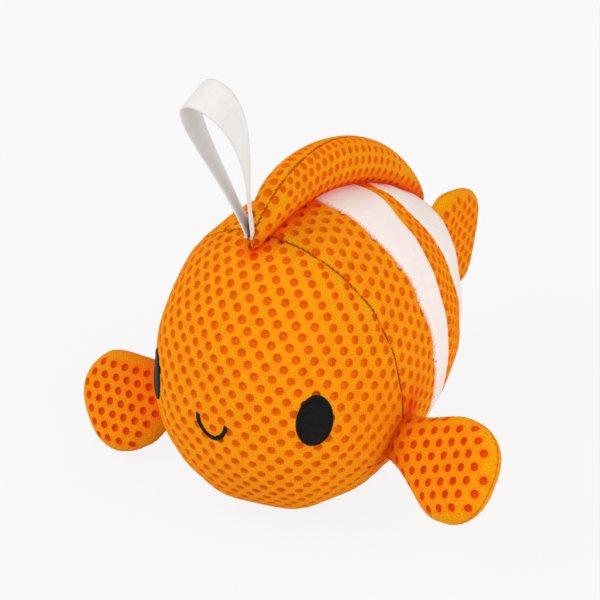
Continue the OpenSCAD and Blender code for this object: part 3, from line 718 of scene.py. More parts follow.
def nose_line(turn, y):
    """Distance from the axis along one direction round the nose, at places along the body."""
    half_w, high, low = (np.maximum(size, 1e-6) for size in body_sizes(y))
    return 1 / np.hypot(np.cos(turn) / half_w, np.sin(turn) / np.where(np.sin(turn) > 0, high, low))


def nose_table():
    """Place along the body at each direction round the nose and each length from it."""
    y = -FACE_L + (FACE_L + PAST_FACE) * np.linspace(0, 1, 300) ** 2
    table = []
    for turn in nose_turns:
        length = np.concatenate([[0], np.cumsum(np.hypot(np.diff(y), np.diff(nose_line(turn, y))))])
        table.append(np.interp(nose_lengths, length, y))
    return np.array(table)


NOSE_TABLE = nose_table()


def face_chart(flat):
    """Lays flat points on the face by their direction and length from the nose, with their outward way."""
    turn = np.arctan2(flat[:, 1], flat[:, 0])
    row = (turn + math.pi) / math.radians(1)
    column = np.hypot(flat[:, 0], flat[:, 1]) / NOSE_STEP
    i = np.clip(row.astype(int), 0, len(nose_turns) - 2)
    j = np.clip(column.astype(int), 0, len(nose_lengths) - 2)
    p, q = row - i, column - j
    y = ((NOSE_TABLE[i, j] * (1 - q) + NOSE_TABLE[i, j + 1] * q) * (1 - p)
         + (NOSE_TABLE[i + 1, j] * (1 - q) + NOSE_TABLE[i + 1, j + 1] * q) * p)
    out = nose_line(turn, y)
    points = np.stack([out * np.cos(turn), y, AXIS_Z + out * np.sin(turn)], -1)
    normals = body_normal(points)
    points = stuffed(points, normals)
    points[:, 2] = np.maximum(points[:, 2], 0)
    return points, normals


print("directions and lengths measured from the nose:", NOSE_TABLE.shape)

# %% Face panel
# Thickness of the cloth, width of a seam and how far the edge of a panel keeps off the middle of its seam
MESH_T, SEAM_GAP = 2.5, 0.3
EDGE_GAP = SEAM_GAP / 6


def body_lining(chart):
    """The inside of a cover panel, one cloth thickness in."""
    def lining(flat):
        points, normals = chart(flat)
        return points - MESH_T * normals
    return lining


def face_outline():
    """The gill seam on the face's flat measure."""
    a = np.radians(np.arange(0, 360, 1.0))
    points = body_point(seam_place(GILL, a) - EDGE_GAP, a)
    turn = np.arctan2(points[:, 2] - AXIS_Z, points[:, 0])
    row = np.clip(np.round((turn + math.pi) / math.radians(1)).astype(int), 0, len(nose_turns) - 1)
    length = np.array([np.interp(y, NOSE_TABLE[k], nose_lengths) for y, k in zip(points[:, 1], row)])
    return np.stack([length * np.cos(turn), length * np.sin(turn)], -1)


FACE_PITCH, FACE_ROW_GAP = 5.23, 3.11
# Slant of the columns, spread of the rows towards the cheeks and their droop there, and the first hole
FACE_SLANT, FACE_SPREAD, FACE_DROOP, FACE_TILT = 0.094, 0.194, 2.6, 0.88
FACE_START = (2.22, 12.04)
CHEEK, CHEEK_MOST = 40.0, 1.6


def face_holes():
    """Holes in rows across the face, found by going from each row and column back to the flat measure."""
    row, column = np.meshgrid(np.arange(-16, 44), np.arange(-30, 30), indexing="ij")
    across = (column + row % 2 / 2).ravel()
    row = row.ravel().astype(float)
    u, v = across * FACE_PITCH, np.zeros(len(row))
    for _ in range(30):
        cheek = np.clip(u / CHEEK, -CHEEK_MOST, CHEEK_MOST)
        v = ((FACE_START[1] - row + FACE_TILT * cheek - FACE_DROOP * cheek ** 2) * FACE_ROW_GAP
             / (1 - FACE_SPREAD * cheek ** 2))
        u = (across + FACE_START[0]) * FACE_PITCH + FACE_SLANT * v
    return np.stack([u, v], -1)


# Depth and width of the roll of the cloth into a seam
SEAM_ROLL = (1.0, 1.7)


def even_tuck(outline, depth, width):
    """The same roll all along an outline."""
    return np.full(len(outline), depth), np.full(len(outline), width)


DART_FROM, DART_TO = (0.94, 118), (0.66, 112)
DART_DEPTH, DART_WIDTH = 0.9, 1.3


def dart(side):
    """Short sewn fold under a cheek, from the gill seam towards the chin."""
    share, turn = (np.linspace(a, b, 25) for a, b in zip(DART_FROM, DART_TO))
    a = side * np.radians(turn)
    points = body_point(-FACE_L + share * (FACE_L + seam_place(GILL, a)), a)
    return stuffed(points, body_normal(points))


outline = face_outline()
face = cut_panel("face_cover", face_chart, body_lining(face_chart), outline, face_holes(),
                 even_tuck(outline, *SEAM_ROLL), (ORANGE_TOP, ORANGE_UNDER),
                 creases=[(dart(side), DART_DEPTH, DART_WIDTH) for side in (-1, 1)])
squeeze(dress(face, "face_panel", "torso"))

# %% [markdown]
# ## Bands round the body
# Behind the gill seam each side has five bands that run from the back to the belly: orange, white,
# orange, white and a short orange end at the tail. Each is cut on a flat measure that runs along the
# flank one way and round the body the other. The orange ones have holes and the white ones are plain.
# One tube with painted bands would be quicker, but real seams have a depth that catches shade.

# %% Bands
flank_y = np.linspace(-20, REAR_L, 400)
flank_length = np.concatenate([[0], np.cumsum(np.hypot(np.diff(flank_y), np.diff(body_sizes(flank_y)[0])))])
EDGE_STEP = 0.9
# At the tail the cloth rolls in deep round the root of the fin
TAIL_ROLL = (3.0, 6.0)


def band_chart(middle, side):
    """Flat measure of a band: along the flank, and round the body at the band's middle."""
    angles = np.linspace(0, math.pi, 400)
    section = body_point(np.full(400, middle), angles)
    girth = running_length(section)

    def chart(flat):
        y = np.interp(flat[:, 0], flank_length, flank_y)
        a = np.interp(flat[:, 1], girth, angles)
        points = body_point(y, a) * (side, 1, 1)
        normals = body_normal(points)
        points = stuffed(points, normals) * (side, 1, 1)
        points[:, 0] = np.maximum(points[:, 0], EDGE_GAP)
        points[:, 2] = np.maximum(points[:, 2], 0)
        return points * (side, 1, 1), normals

    return chart, girth, angles


def band_outline(front, rear, girth, angles):
    """Outline of a band and which of its points lie on the rear seam."""
    round_steps = np.linspace(0, girth[-1], int(girth[-1] / EDGE_STEP))
    a = np.interp(round_steps, girth, angles)
    front_y = np.interp(seam_place(front, a) + EDGE_GAP, flank_y, flank_length)
    rear_y = np.interp(seam_place(rear, a) - EDGE_GAP, flank_y, flank_length)
    below = np.arange(front_y[-1], rear_y[-1], EDGE_STEP)[1:]
    above = np.arange(front_y[0], rear_y[0], EDGE_STEP)[1:][::-1]
    outline = np.concatenate([
        np.stack([front_y, round_steps], -1), np.stack([below, np.full(len(below), girth[-1])], -1),
        np.stack([rear_y, round_steps], -1)[::-1], np.stack([above, np.zeros(len(above))], -1)])
    first = len(front_y) + len(below)
    on_rear = np.zeros(len(outline), bool)
    on_rear[first:first + len(rear_y)] = True
    return outline, on_rear


# Each band with its two seams and, where it is orange, the pitch, the row gap and the turn of its holes
BANDS = (("shoulder_panel", GILL, STRIPE1[0], (4.4, 3.75, 98)), ("front_stripe", *STRIPE1, None),
         ("mid_panel", STRIPE1[1], STRIPE2[0], (4.1, 3.0, 90)), ("rear_stripe", *STRIPE2, None),
         ("tail_base", STRIPE2[1], TAIL_SEAM, (4.0, 3.5, 90)))
for side_name, side in SIDES:
    for band_name, front, rear, rows in BANDS:
        chart, girth, angles = band_chart((front[1] + rear[1]) / 2, side)
        outline, on_rear = band_outline(front, rear, girth, angles)
        depth, width = even_tuck(outline, *SEAM_ROLL)
        if rear is TAIL_SEAM:
            depth[on_rear], width[on_rear] = TAIL_ROLL
        holes, finishes, slot = [], (WHITE_BAND,), "white_mesh"
        if rows:
            holes, finishes, slot = hole_rows(outline, *rows), (ORANGE_TOP, ORANGE_UNDER), "orange_mesh"
        band = cut_panel(f"{side_name}_{band_name}_cover", chart, body_lining(chart), outline, holes,
                         (depth, width), finishes)
        squeeze(dress(band, f"{side_name}_{band_name}", "torso"))

# %% [markdown]
# ## Stuffed fins
# A side fin is two paddles of mesh sewn edge to edge, turned and filled, so it is a flat pillow with a
# round edge and a pinched root. It could be inflated by a cloth simulation; a rule that rounds the
# cloth in from its edge gives the same pillow and keeps the rows of holes straight. The tail is made
# in the same way, standing upright.

# %% Side fins
FIN_SINK = 3.0
FIN_END_L, FIN_END_POWER, FIN_END_LOW = 15.4, 2.4, 0.7
FIN_HOLLOW = 1.3
FIN_END_HALF_W = {"left": 15.0, "right": 16.0}
FIN_HALF_T, FIN_ROUND, FIN_SEAM = 4.9, 6.5, 0.06
ROOT_T_SHARE, ROOT_LENGTH = 0.55, 11.0
FIN_ROWS = {"left": (4.6, 3.75, 157, (-1.0, 0.6)), "right": (4.4, 3.6, 22, (0.8, 0.0))}
FIN_HOLE_SIZE = 0.95
# The right fin lies close under the cheek, so the painted red shade of the fold reaches further over it
FIN_RED_REACH = {"left": 1.2, "right": 2.6}
EDGE_CLEAR = 0.9
# Steps of the cut edge and of the sewn line, and a roll of no depth: a pillow is already round at its seam
CUT_STEP, SEWN_STEP = 0.7, 0.3
NO_ROLL = (0.0, 1.0)
# Least half thickness of a lining, and how far from the open end of the root the sewn edge starts
LEAST_HALF_T, ROOT_EDGE = 0.05, 0.05


def points_along(places, length, line):
    """Points of a line at places given as lengths along it."""
    return np.stack([np.interp(places, length, column) for column in line.T], -1)


def even_steps(outline, step):
    """The same closed outline with points a set step apart."""
    closed = np.concatenate([outline, outline[:1]])
    length = running_length(closed)
    places = np.linspace(0, length[-1], int(length[-1] / step), endpoint=False)
    return points_along(places, length, closed)


def squared(angle, power):
    """Cosine and sine of a round that is squared off by a power."""
    return [np.sign(wave) * np.abs(wave) ** (2 / power) for wave in (np.cos(angle), np.sin(angle))]


def side_fin_outline(side_name):
    """A round end, a little squared, and two hollow sides that run in to the root."""
    reach, half_w = FIN_REACH[side_name], FIN_END_HALF_W[side_name]
    out, across = squared(np.radians(np.linspace(-90, 90, 61)), FIN_END_POWER)
    end = np.stack([reach + FIN_END_L * out, half_w * across], -1)
    share = np.linspace(1, 0, 40)[1:]
    eased = share ** FIN_HOLLOW
    side = np.stack([reach - (reach + FIN_SINK) * (1 - share),
                     FIN_ROOT_HALF_W + (half_w - FIN_ROOT_HALF_W) * eased ** 2 * (3 - 2 * eased)], -1)
    outline = np.concatenate([end, side, (side * (1, -1))[::-1]])
    outline[:, 1] += FIN_END_LOW + FIN_SLIP[side_name] * np.maximum(reach - outline[:, 0], 0)
    return even_steps(outline, CUT_STEP)


def pillow(outline, root, axes, face, full_t=FIN_HALF_T, sink=FIN_SINK):
    """Chart and lining of one panel of a stuffed piece: rounded in from its sewn edge, thin at its root."""
    sewn = even_steps(outline, SEWN_STEP)
    sewn = sewn[sewn[:, 0] > -sink + ROOT_EDGE]
    out, across, square = axes

    def half_t(flat):
        near = np.clip(nearest(flat, sewn)[1] / FIN_ROUND, 0, 1)
        opened = np.clip((flat[:, 0] + sink) / ROOT_LENGTH, 0, 1)
        opened = ROOT_T_SHARE + (1 - ROOT_T_SHARE) * opened ** 2 * (3 - 2 * opened)
        lump = lumps(root + flat[:, :1] * out + flat[:, 1:] * across)
        return FIN_SEAM + ((full_t - FIN_SEAM) * np.sqrt(1 - (1 - near) ** 2) + lump * near) * opened

    def place(flat, thick):
        return root + flat[:, :1] * out + flat[:, 1:] * across + face * thick[:, None] * square

    def chart(flat):
        step = 0.15
        thick = half_t(flat)
        along, aside = (rise / (2 * step) for rise in change(half_t, flat, step))
        return place(flat, thick), unit(face * square - along[:, None] * out - aside[:, None] * across)

    def lining(flat):
        return place(flat, np.maximum(half_t(flat) - MESH_T, LEAST_HALF_T))

    return chart, lining


for side_name, side in SIDES:
    fin_outline = side_fin_outline(side_name)
    axes = fin_axes(side_name, side)
    holes = hole_rows(fin_outline, *FIN_ROWS[side_name])
    for face_name, face_side in (("front", -1), ("back", 1)):
        chart, lining = pillow(fin_outline, FIN_ROOT * (side, 1, 1), axes, face_side)
        fin = cut_panel(f"{side_name}_fin_{face_name}_cover", chart, lining, fin_outline, holes,
                        even_tuck(fin_outline, *NO_ROLL), (FIN_TOP, FIN_UNDER), clear=EDGE_CLEAR,
                        hole_size=FIN_HOLE_SIZE, red_reach=FIN_RED_REACH[side_name])
        dress(fin, f"{side_name}_fin_{face_name}_panel", f"{side_name}_fin")

# %% Tail
TAIL_L, TAIL_HALF_W, TAIL_HALF_T, TAIL_SLANT, TAIL_POWER = 26.0, 17.2, 3.8, math.radians(17), 3.2
TAIL_SINK, TAIL_ROWS = 6.5, (4.2, 3.6, 27)
TAIL_ROOT = np.array([0, REAR_L, AXIS_Z + 0.5])


def tail_outline():
    """A squared ellipse."""
    out, across = squared(np.radians(np.arange(0, 360, 2)), TAIL_POWER)
    half_l = (TAIL_L + TAIL_SINK) / 2
    return even_steps(np.stack([TAIL_L - half_l + half_l * out, TAIL_HALF_W * across], -1), CUT_STEP)


outline = tail_outline()
tail_axes = (np.array([0, math.cos(TAIL_SLANT), -math.sin(TAIL_SLANT)]),
             np.array([0, math.sin(TAIL_SLANT), math.cos(TAIL_SLANT)]), np.array([1.0, 0, 0]))
for side_name, side in SIDES:
    chart, lining = pillow(outline, TAIL_ROOT, tail_axes, side, TAIL_HALF_T, TAIL_SINK)
    holes = hole_rows(outline, *TAIL_ROWS)
    tail = cut_panel(f"tail_{side_name}_cover", chart, lining, outline, holes,
                     even_tuck(outline, *NO_ROLL), (ORANGE_TOP, ORANGE_UNDER), clear=EDGE_CLEAR)
    dress(tail, f"tail_{side_name}_panel", "tail_fin")

# %% [markdown]
# ## Dorsal fin
# The fin on the back is a long stuffed roll that starts steeply behind the loop and falls away to the
# tail. It has two panels that meet in a seam along its ridge. Each is drawn on a flat measure that runs
# along the back one way and down the side of the roll the other. A bent tube would lack that seam and
# the steep front.

# %% Dorsal fin
DORSAL_H, DORSAL_END_H, DORSAL_HALF_T, DORSAL_SINK = 14.5, 2.5, 5.4, 1.2
DORSAL_L, DORSAL_SIDE = DORSAL_REAR - DORSAL_FRONT, 17.5
DORSAL_WRAP, RIDGE_TURN, RIDGE_STRAIGHT = math.radians(158), math.radians(35), 0.45
# The cloth is gathered along the roll, so its holes are drawn narrow
DORSAL_GATHER = 1.35
DORSAL_ROWS = (4.9, 3.3, 0)
RIDGE_DEPTH, RIDGE_WIDTH = 0.6, 1.5
# Steepness of the roll's front and rear, its half thickness at the ends and how square its sides are
FRONT_RISE, REAR_FALL, DORSAL_END_T, DORSAL_SQUARE = 0.3, 1.0, 0.15, 0.8


def dorsal_place(flat, side, inset=0.0):
    """Point of one side of the roll: along the back, and from the ridge seam down to the foot."""
    share = np.clip(flat[:, 0] / (DORSAL_L * DORSAL_GATHER), 0, 1)
    off = np.abs(2 * share - 1)
    arch = np.maximum(0, 1 - off ** 3) ** np.where(share < 0.5, FRONT_RISE, REAR_FALL)
    ridge = side * RIDGE_TURN * np.clip(1 - share / RIDGE_STRAIGHT, 0, 1)
    wrap = ridge + np.clip(flat[:, 1] / DORSAL_SIDE, 0, 1) * (DORSAL_WRAP - ridge)
    y = DORSAL_FRONT + share * DORSAL_L
    tall = DORSAL_END_H + (DORSAL_H - DORSAL_END_H) * arch + DORSAL_SINK
    half_t = np.maximum(DORSAL_END_T + DORSAL_HALF_T * (1 - off ** 5) ** 0.6 - inset, LEAST_HALF_T)
    x = half_t * np.sign(np.sin(wrap)) * np.abs(np.sin(wrap)) ** DORSAL_SQUARE
    z = AXIS_Z + body_sizes(y)[1] - DORSAL_SINK + tall / 2 + (tall / 2 - min(inset, 1.0)) * np.cos(wrap)
    return np.stack([side * x, y, z], -1)


def dorsal_chart(side):
    """Lays flat points on one side of the roll, with their outward way."""
    def chart(flat):
        along, down = change(lambda spots: dorsal_place(spots, side), flat, 0.2)
        return dorsal_place(flat, side), unit(np.cross(down, along)) * side

    return chart


cloth_l = DORSAL_L * DORSAL_GATHER
outline = even_steps(np.array([(0, 0), (cloth_l, 0), (cloth_l, DORSAL_SIDE), (0, DORSAL_SIDE)]), CUT_STEP)
on_ridge = outline[:, 1] < 0.01
for side_name, side in SIDES:
    holes = hole_rows(outline, *DORSAL_ROWS)
    panel = cut_panel(f"dorsal_{side_name}_cover", dorsal_chart(side),
                      lambda flat, s=side: dorsal_place(flat, s, MESH_T), outline, holes,
                      (np.where(on_ridge, RIDGE_DEPTH, 0.0), np.full(len(outline), RIDGE_WIDTH)),
                      (ORANGE_TOP, ORANGE_UNDER))
    dress(panel, f"dorsal_{side_name}_panel", "dorsal_fin")

# %% [markdown]
# ## Hanging loop
# The loop is one length of ribbed ribbon, folded over and sewn in by both ends beside the front of the
# dorsal fin. The ends are spread in the seam, drawn together and twisted above it, and open out flat
# towards the top. A bevelled curve could make a plain strap, but not the spread ends and the fine ribs, so
# the ribbon is swept along its middle line as a sheet with a width of its own at each step.

# %% Hanging loop
RIBBON_W, RIBBON_T, RIBBON_ROOT_W, RIBBON_PINCH_W, RIBBON_OPENING = 12.0, 0.5, 9.0, 7.0, 4.4
LOOP_L, LOOP_HALF_W, LOOP_LEAN, LOOP_TILT, LOOP_NARROWING = 54.5, 12.0, 0.07, math.radians(15), 3
LOOP_ROOT = np.array([0, -20.05, 88.7])
# How far the ends go into the seam, half the space between them, and their place beside the dorsal fin
END_L, END_APART, END_SHIFT, SHIFT_FADES = 4.0, 0.7, np.array([-3.8, 7.9, 1.9]), 5.0
FLARE_FADES, CURL, TWIST, SWAY = 3.5, 0.6, math.radians(33), 1.8
RIB_MM, RIB_T = 0.75, 0.05
RIBBON_STEPS, RIBBON_COLUMNS = 420, 21
loop_across = np.array([0, math.cos(LOOP_TILT), math.sin(LOOP_TILT)])
loop_up = np.array([0, -math.sin(LOOP_TILT), math.cos(LOOP_TILT)])


def loop_line(t):
    """Middle line of the ribbon, from one end in the seam round to the other."""
    around = np.clip(t, 0, 1)
    sewn_in = (np.clip(-t, 0, 1) + np.clip(t - 1, 0, 1)) * END_L
    rise = LOOP_L * (1 - np.cos(2 * math.pi * around)) / 2 - sewn_in
    x = (LOOP_HALF_W * np.sin(2 * math.pi * around) * np.abs(np.sin(math.pi * around)) ** LOOP_NARROWING
         + END_APART * np.cos(math.pi * around) - LOOP_LEAN * rise + SWAY * np.sin(2 * math.pi * around) ** 2)
    fade = np.exp(-np.maximum(rise, 0) / SHIFT_FADES)
    return LOOP_ROOT + rise[:, None] * loop_up + np.stack([x, 0 * x, 0 * x], -1) + fade[:, None] * END_SHIFT


def sweep_ribbon():
    """Both faces of the ribbon, spread in the seam, drawn together above it and open at the top."""
    t = np.linspace(-1, 2, 6001)
    length = running_length(loop_line(t))
    places = np.linspace(0, length[-1], RIBBON_STEPS)
    t = np.interp(places, length, t)
    middle = loop_line(t)
    face = unit(np.cross(loop_across, np.gradient(middle, axis=0)))
    risen = np.maximum((middle - LOOP_ROOT) @ loop_up, 0)
    opened, flare = np.sin(math.pi * np.clip(t, 0, 1)) ** RIBBON_OPENING, np.exp(-risen / FLARE_FADES)
    wide = (RIBBON_PINCH_W + (RIBBON_W - RIBBON_PINCH_W) * opened + (RIBBON_ROOT_W - RIBBON_PINCH_W) * flare)
    twist = (TWIST * (1 - opened) * (1 - flare))[:, None]
    sideways = loop_across * np.cos(twist) - np.array([1, 0, 0]) * np.sin(twist)
    across = np.linspace(-0.5, 0.5, RIBBON_COLUMNS)
    curl = CURL * (1 - wide / RIBBON_W)[:, None] * np.cos(math.pi * across)
    sheet = (middle[:, None] + (wide[:, None] * across)[..., None] * sideways[:, None]
             + curl[..., None] * face[:, None])
    square = unit(np.cross(np.gradient(sheet, axis=1), np.gradient(sheet, axis=0)))
    rib = RIBBON_T / 2 + RIB_T * np.sin(2 * math.pi * places / RIB_MM)[:, None, None]
    flat = np.stack(np.meshgrid(places, across * RIBBON_W, indexing="ij"), -1)
    return sheet + square * rib, sheet - square * rib, flat, length[-1]


def strip_faces(rows, columns, sleeve=False):
    """Faces of a strip of two layers, joined along its edges. A sleeve runs round and has only two."""
    number = np.arange(rows * columns).reshape(rows, columns)
    if sleeve:
        number = np.concatenate([number, number[:, :1]], 1)
    other = number + rows * columns

    def quads(a):
        return np.stack([a[1:, :-1], a[:-1, :-1], a[:-1, 1:], a[1:, 1:]], -1).reshape(-1, 4)

    def edge(line, below):
        return np.stack([below[:-1], line[:-1], line[1:], below[1:]], -1)

    faces = [quads(number), quads(other)[:, ::-1]]
    if not sleeve:
        faces += [edge(number[:, 0], other[:, 0]), edge(number[:, -1], other[:, -1])[:, ::-1]]
    return np.concatenate([*faces, edge(number[0], other[0])[:, ::-1], edge(number[-1], other[-1])])


top, under, flat, ribbon_l = sweep_ribbon()
loop = link_mesh("ribbon_loop", np.concatenate([top.reshape(-1, 3), under.reshape(-1, 3)]),
                 strip_faces(RIBBON_STEPS, RIBBON_COLUMNS), (RIBBON,), np.tile(flat.reshape(-1, 2), (2, 1)))
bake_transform(loop)
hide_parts("hanging_loop")
print("ribbon length in mm:", round(float(ribbon_l), 1))

# %% [markdown]
# ## Embroidered face
# The eyes and the smile are worked in black satin stitch: rows of thread laid side by side over a low
# pad, each dipping through the cloth at both ends. A black patch would look printed, so every stitch
# is a thread of its own, with ends that are a little uneven as a machine leaves them.


# %% Thread on the face
def threads(name, paths, radius, finish, sides=6):
    """Round threads along a list of paths, as one mesh."""
    points, faces = [], []
    turn = np.arange(sides) * 2 * math.pi / sides
    for path in paths:
        path = np.asarray(path, float)
        run = unit(np.gradient(path, axis=0))
        guide = np.eye(3)[np.abs(run.mean(0)).argmin()]
        first = unit(np.cross(run, guide))
        second = np.cross(run, first)
        start = sum(len(p) for p in points)
        around = np.cos(turn)[:, None] * first[:, None] + np.sin(turn)[:, None] * second[:, None]
        points.append((path[:, None] + radius * around).reshape(-1, 3))
        for k in range(len(path) - 1):
            for s in range(sides):
                a, b = start + k * sides + s, start + k * sides + (s + 1) % sides
                faces.append((a, b, b + sides, a + sides))
        faces.append(tuple(start + s for s in reversed(range(sides))))
        faces.append(tuple(start + (len(path) - 1) * sides + s for s in range(sides)))
    print(name, "threads:", len(paths))
    return link_mesh(name, np.concatenate(points), faces, (finish,))


def on_face(direction):
    """Point of the face in directions from the body's axis, with its outward direction."""
    x, y, z = np.moveaxis(np.asarray(direction, float), -1, 0)
    section = np.hypot(x / WIDTH[0], z / np.where(z > 0, BACK[0], BELLY[0]))
    size = ((np.maximum(-y, 0) / FACE_L) ** FACE_POWER + section ** FACE_POWER) ** (1 / FACE_POWER)
    points = np.stack([x, y, z], -1) / size[..., None] + (0, 0, AXIS_Z)
    normals = body_normal(points)
    return stuffed(points, normals), normals


print("tip of the nose in mm:", on_face([[0.0, -1.0, 0.0]])[0].round(1).tolist())

# %% Eyes
# Turn and rise of the middle of each eye in degrees; the two sides of the toy are not quite alike
EYE_PLACES = {"left": (40.2, 12.4), "right": (43.0, 9.1)}
EYE_W, EYE_H, EYE_LEAN = 10.1, 15.2, math.radians(9)
THREAD_R, THREAD_STEP, STITCH_RISE, STITCH_BASE = 0.26, 0.44, 0.18, 0.04
# Size and height of the threads that finish the edge of an eye
EDGE_THREADS = ((1.0, 0.02), (0.955, 0.12))
STITCH_SLANT = math.radians(-12)
# How uneven the ends of the stitches and their other measures are
END_RAGGED, STITCH_RAGGED = 0.1, 0.08
ragged = np.random.default_rng(7)


def toward(turn, rise_angle):
    """Direction from the body's axis at a turn to the side and a rise, in degrees."""
    turn, rise_angle = np.radians(turn), np.radians(rise_angle)
    level = np.cos(rise_angle)
    return np.stack([np.sin(turn) * level, -np.cos(turn) * level, np.sin(rise_angle)], -1)


def stitch_lift(count):
    """Height of a satin stitch over the cloth, from one end to the other."""
    return STITCH_RISE * (1 - np.abs(np.linspace(-1, 1, count)) ** 4) + STITCH_BASE


def eye_stitches(side, eye_turn, eye_rise):
    """Paths of one eye's threads: two round its edge, and rows across an oval that leans to the cheek."""
    middle = on_face(toward(np.array([eye_turn]), np.array([eye_rise])))[0][0]
    degrees = math.degrees(1) / np.linalg.norm(middle - (0, 0, AXIS_Z))

    def laid(across, along, lift):
        turn = (across * math.cos(EYE_LEAN) + along * math.sin(EYE_LEAN)) * degrees
        turn = turn / math.cos(math.radians(eye_rise))
        rise_angle = (along * math.cos(EYE_LEAN) - across * math.sin(EYE_LEAN)) * degrees
        points, normals = on_face(toward(eye_turn + turn, eye_rise + rise_angle) * (side, 1, 1))
        return points + normals * np.reshape(lift, (-1, 1))

    around = np.radians(np.linspace(0, 365, 80))
    paths = [laid(size * EYE_W / 2 * np.cos(around), size * EYE_H / 2 * np.sin(around), lift)
             for size, lift in EDGE_THREADS]
    c, s = math.cos(STITCH_SLANT), math.sin(STITCH_SLANT)
    for level_mm in np.arange(-EYE_H / 2, EYE_H / 2, THREAD_STEP):
        reach = np.linspace(-EYE_W, EYE_W, 400)
        within = reach[(reach * c / (EYE_W / 2)) ** 2 + ((level_mm + reach * s) / (EYE_H / 2)) ** 2 < 1]
        if len(within) < 12:
            continue
        starts = within[0] - ragged.uniform(-END_RAGGED, END_RAGGED)
        ends = within[-1] + ragged.uniform(-END_RAGGED, END_RAGGED)
        reach = np.linspace(starts, ends, 9)
        lift = stitch_lift(9) + ragged.uniform(-STITCH_RAGGED, STITCH_RAGGED)
        paths.append(laid(reach * c, level_mm + reach * s, lift))
    return paths


for side_name, side in SIDES:
    paths = eye_stitches(side, *EYE_PLACES[side_name])
    eye = threads(f"{side_name}_eye_stitches", paths, THREAD_R, BLACK_THREAD)
    squeeze(dress(eye, f"{side_name}_eye", "torso"))

# %% Smile
MOUTH_W, MOUTH_H, MOUTH_RISE, MOUTH_SIDE, MOUTH_LINE = 9.5, 6.5, 6.5, -1.35, 1.1
MOUTH_TURN, MOUTH_SLANT = (180, 348), 0.35
# The smile is worked in a finer thread than the eyes
FINER = 0.9


def mouth_stitches():
    """Paths of the short stitches across the line of the smile."""
    a = np.radians(np.linspace(*MOUTH_TURN, 400))
    line = np.stack([MOUTH_SIDE + MOUTH_W / 2 * np.cos(a), MOUTH_RISE + MOUTH_H * np.sin(a)], -1)
    length = running_length(line)
    paths = []
    for place in np.arange(0, length[-1], THREAD_STEP * FINER):
        behind, spot, ahead = (points_along(place + step, length, line) for step in (-0.1, 0, 0.1))
        run = unit(ahead - behind)
        side = np.array([-run[1], run[0]]) + MOUTH_SLANT * run
        half = MOUTH_LINE / 2 + ragged.uniform(-STITCH_RAGGED, STITCH_RAGGED)
        reach = np.linspace(-half, half, 6)
        x, z = (spot + reach[:, None] * side).T
        share = np.hypot(x / WIDTH[0], z / np.where(z > 0, BACK[0], BELLY[0]))
        y = -FACE_L * (1 - share ** FACE_POWER) ** (1 / FACE_POWER)
        points, normals = on_face(np.stack([x, y, z], -1))
        paths.append(points + normals * stitch_lift(6)[:, None])
    return paths


smile = threads("smile_stitches", mouth_stitches(), THREAD_R * FINER, BLACK_THREAD)
squeeze(dress(smile, "mouth", "torso"))

# %% [markdown]
# ## Seam thread and frayed edges
# At the gill seam, the darts and the ridge of the dorsal fin the thread shows as short dark dashes at the
# bottom of the crease. Along the front white band the cut edge of the orange mesh leaves loose fibres.
# A dark line could be painted on, but real threads catch the light one by one. Those on the body ride
# with the cover.

# %% Stitches and loose fibres
STITCH_L, STITCH_STEP, STITCH_R, STITCH_LEAN = 1.7, 1.7, 0.2, 0.35
# How deep the stitches lie in the gill seam, the darts and the ridge, and the share of them that is hidden
GILL_SUNK, DART_SUNK, RIDGE_SUNK, HIDDEN_SHARE = 0.55, 0.4, 0.35, 0.15
# Ranges of a stitch's length and lean, its rise in the middle and how uneven that is
STITCH_LENGTHS, STITCH_LEANS, STITCH_CROWN, STITCH_UNEVEN = (0.7, 1.1), (0.5, 1.3), 0.2, 0.1
FRAY_STEP, FRAY_R, FRAY_L, FRAY_TURN = 1.3, 0.06, (0.2, 1.0), (4, 172)
# How far the places and the ways of the fibres vary, how far ahead of the seam they start and how they rise
FRAY_JITTER, FRAY_DRIFT, FRAY_START, FRAY_SUNK, FRAY_CROWN, FRAY_LOOSE = 0.4, 0.02, 0.5, 0.3, 0.35, 0.15


def seam_stitches(line, outward, sunk):
    """Slanted stitches along a seam, each a short thread that lies in the crease, some of them hidden."""
    length = running_length(line)
    paths = []
    for place in np.arange(STITCH_STEP, length[-1] - STITCH_STEP, STITCH_STEP):
        if ragged.uniform() < HIDDEN_SHARE:
            continue
        share = np.linspace(0, 1, 5)
        spots = place + STITCH_L * ragged.uniform(*STITCH_LENGTHS) * share
        points = points_along(spots, length, line)
        out = unit(points_along(spots, length, outward))
        sideways = unit(np.cross(points[-1] - points[0], out[0]))
        sideways = sideways * STITCH_LEAN * ragged.uniform(*STITCH_LEANS)
        lift = -sunk + STITCH_CROWN * np.sin(share * math.pi) + ragged.uniform(-STITCH_UNEVEN, STITCH_UNEVEN)
        paths.append(points + out * lift[:, None] + (share - 0.5)[:, None] * 2 * sideways)
    return paths


def frayed_edge(edge, side):
    """Loose fibres of the orange cloth that lie over the front edge of a white band."""
    paths = []
    a = np.radians(np.linspace(*FRAY_TURN, 400))
    line = body_point(seam_place(edge, a), a)
    length = running_length(line)
    for place in np.arange(0, length[-1], FRAY_STEP):
        angle = np.interp(place + ragged.uniform(-FRAY_JITTER, FRAY_JITTER), length, a)
        reach, drift = ragged.uniform(*FRAY_L), ragged.uniform(-FRAY_DRIFT, FRAY_DRIFT)
        share = np.linspace(0, 1, 5)
        angles = angle + drift * share
        points = body_point(seam_place(edge, angles) - FRAY_START + reach * share, angles) * (side, 1, 1)
        normals = body_normal(points)
        lift = -FRAY_SUNK + FRAY_CROWN * np.sin(share * math.pi * 0.6) + ragged.uniform(0, FRAY_LOOSE)
        paths.append(stuffed(points, normals) + normals * lift[:, None])
    return paths


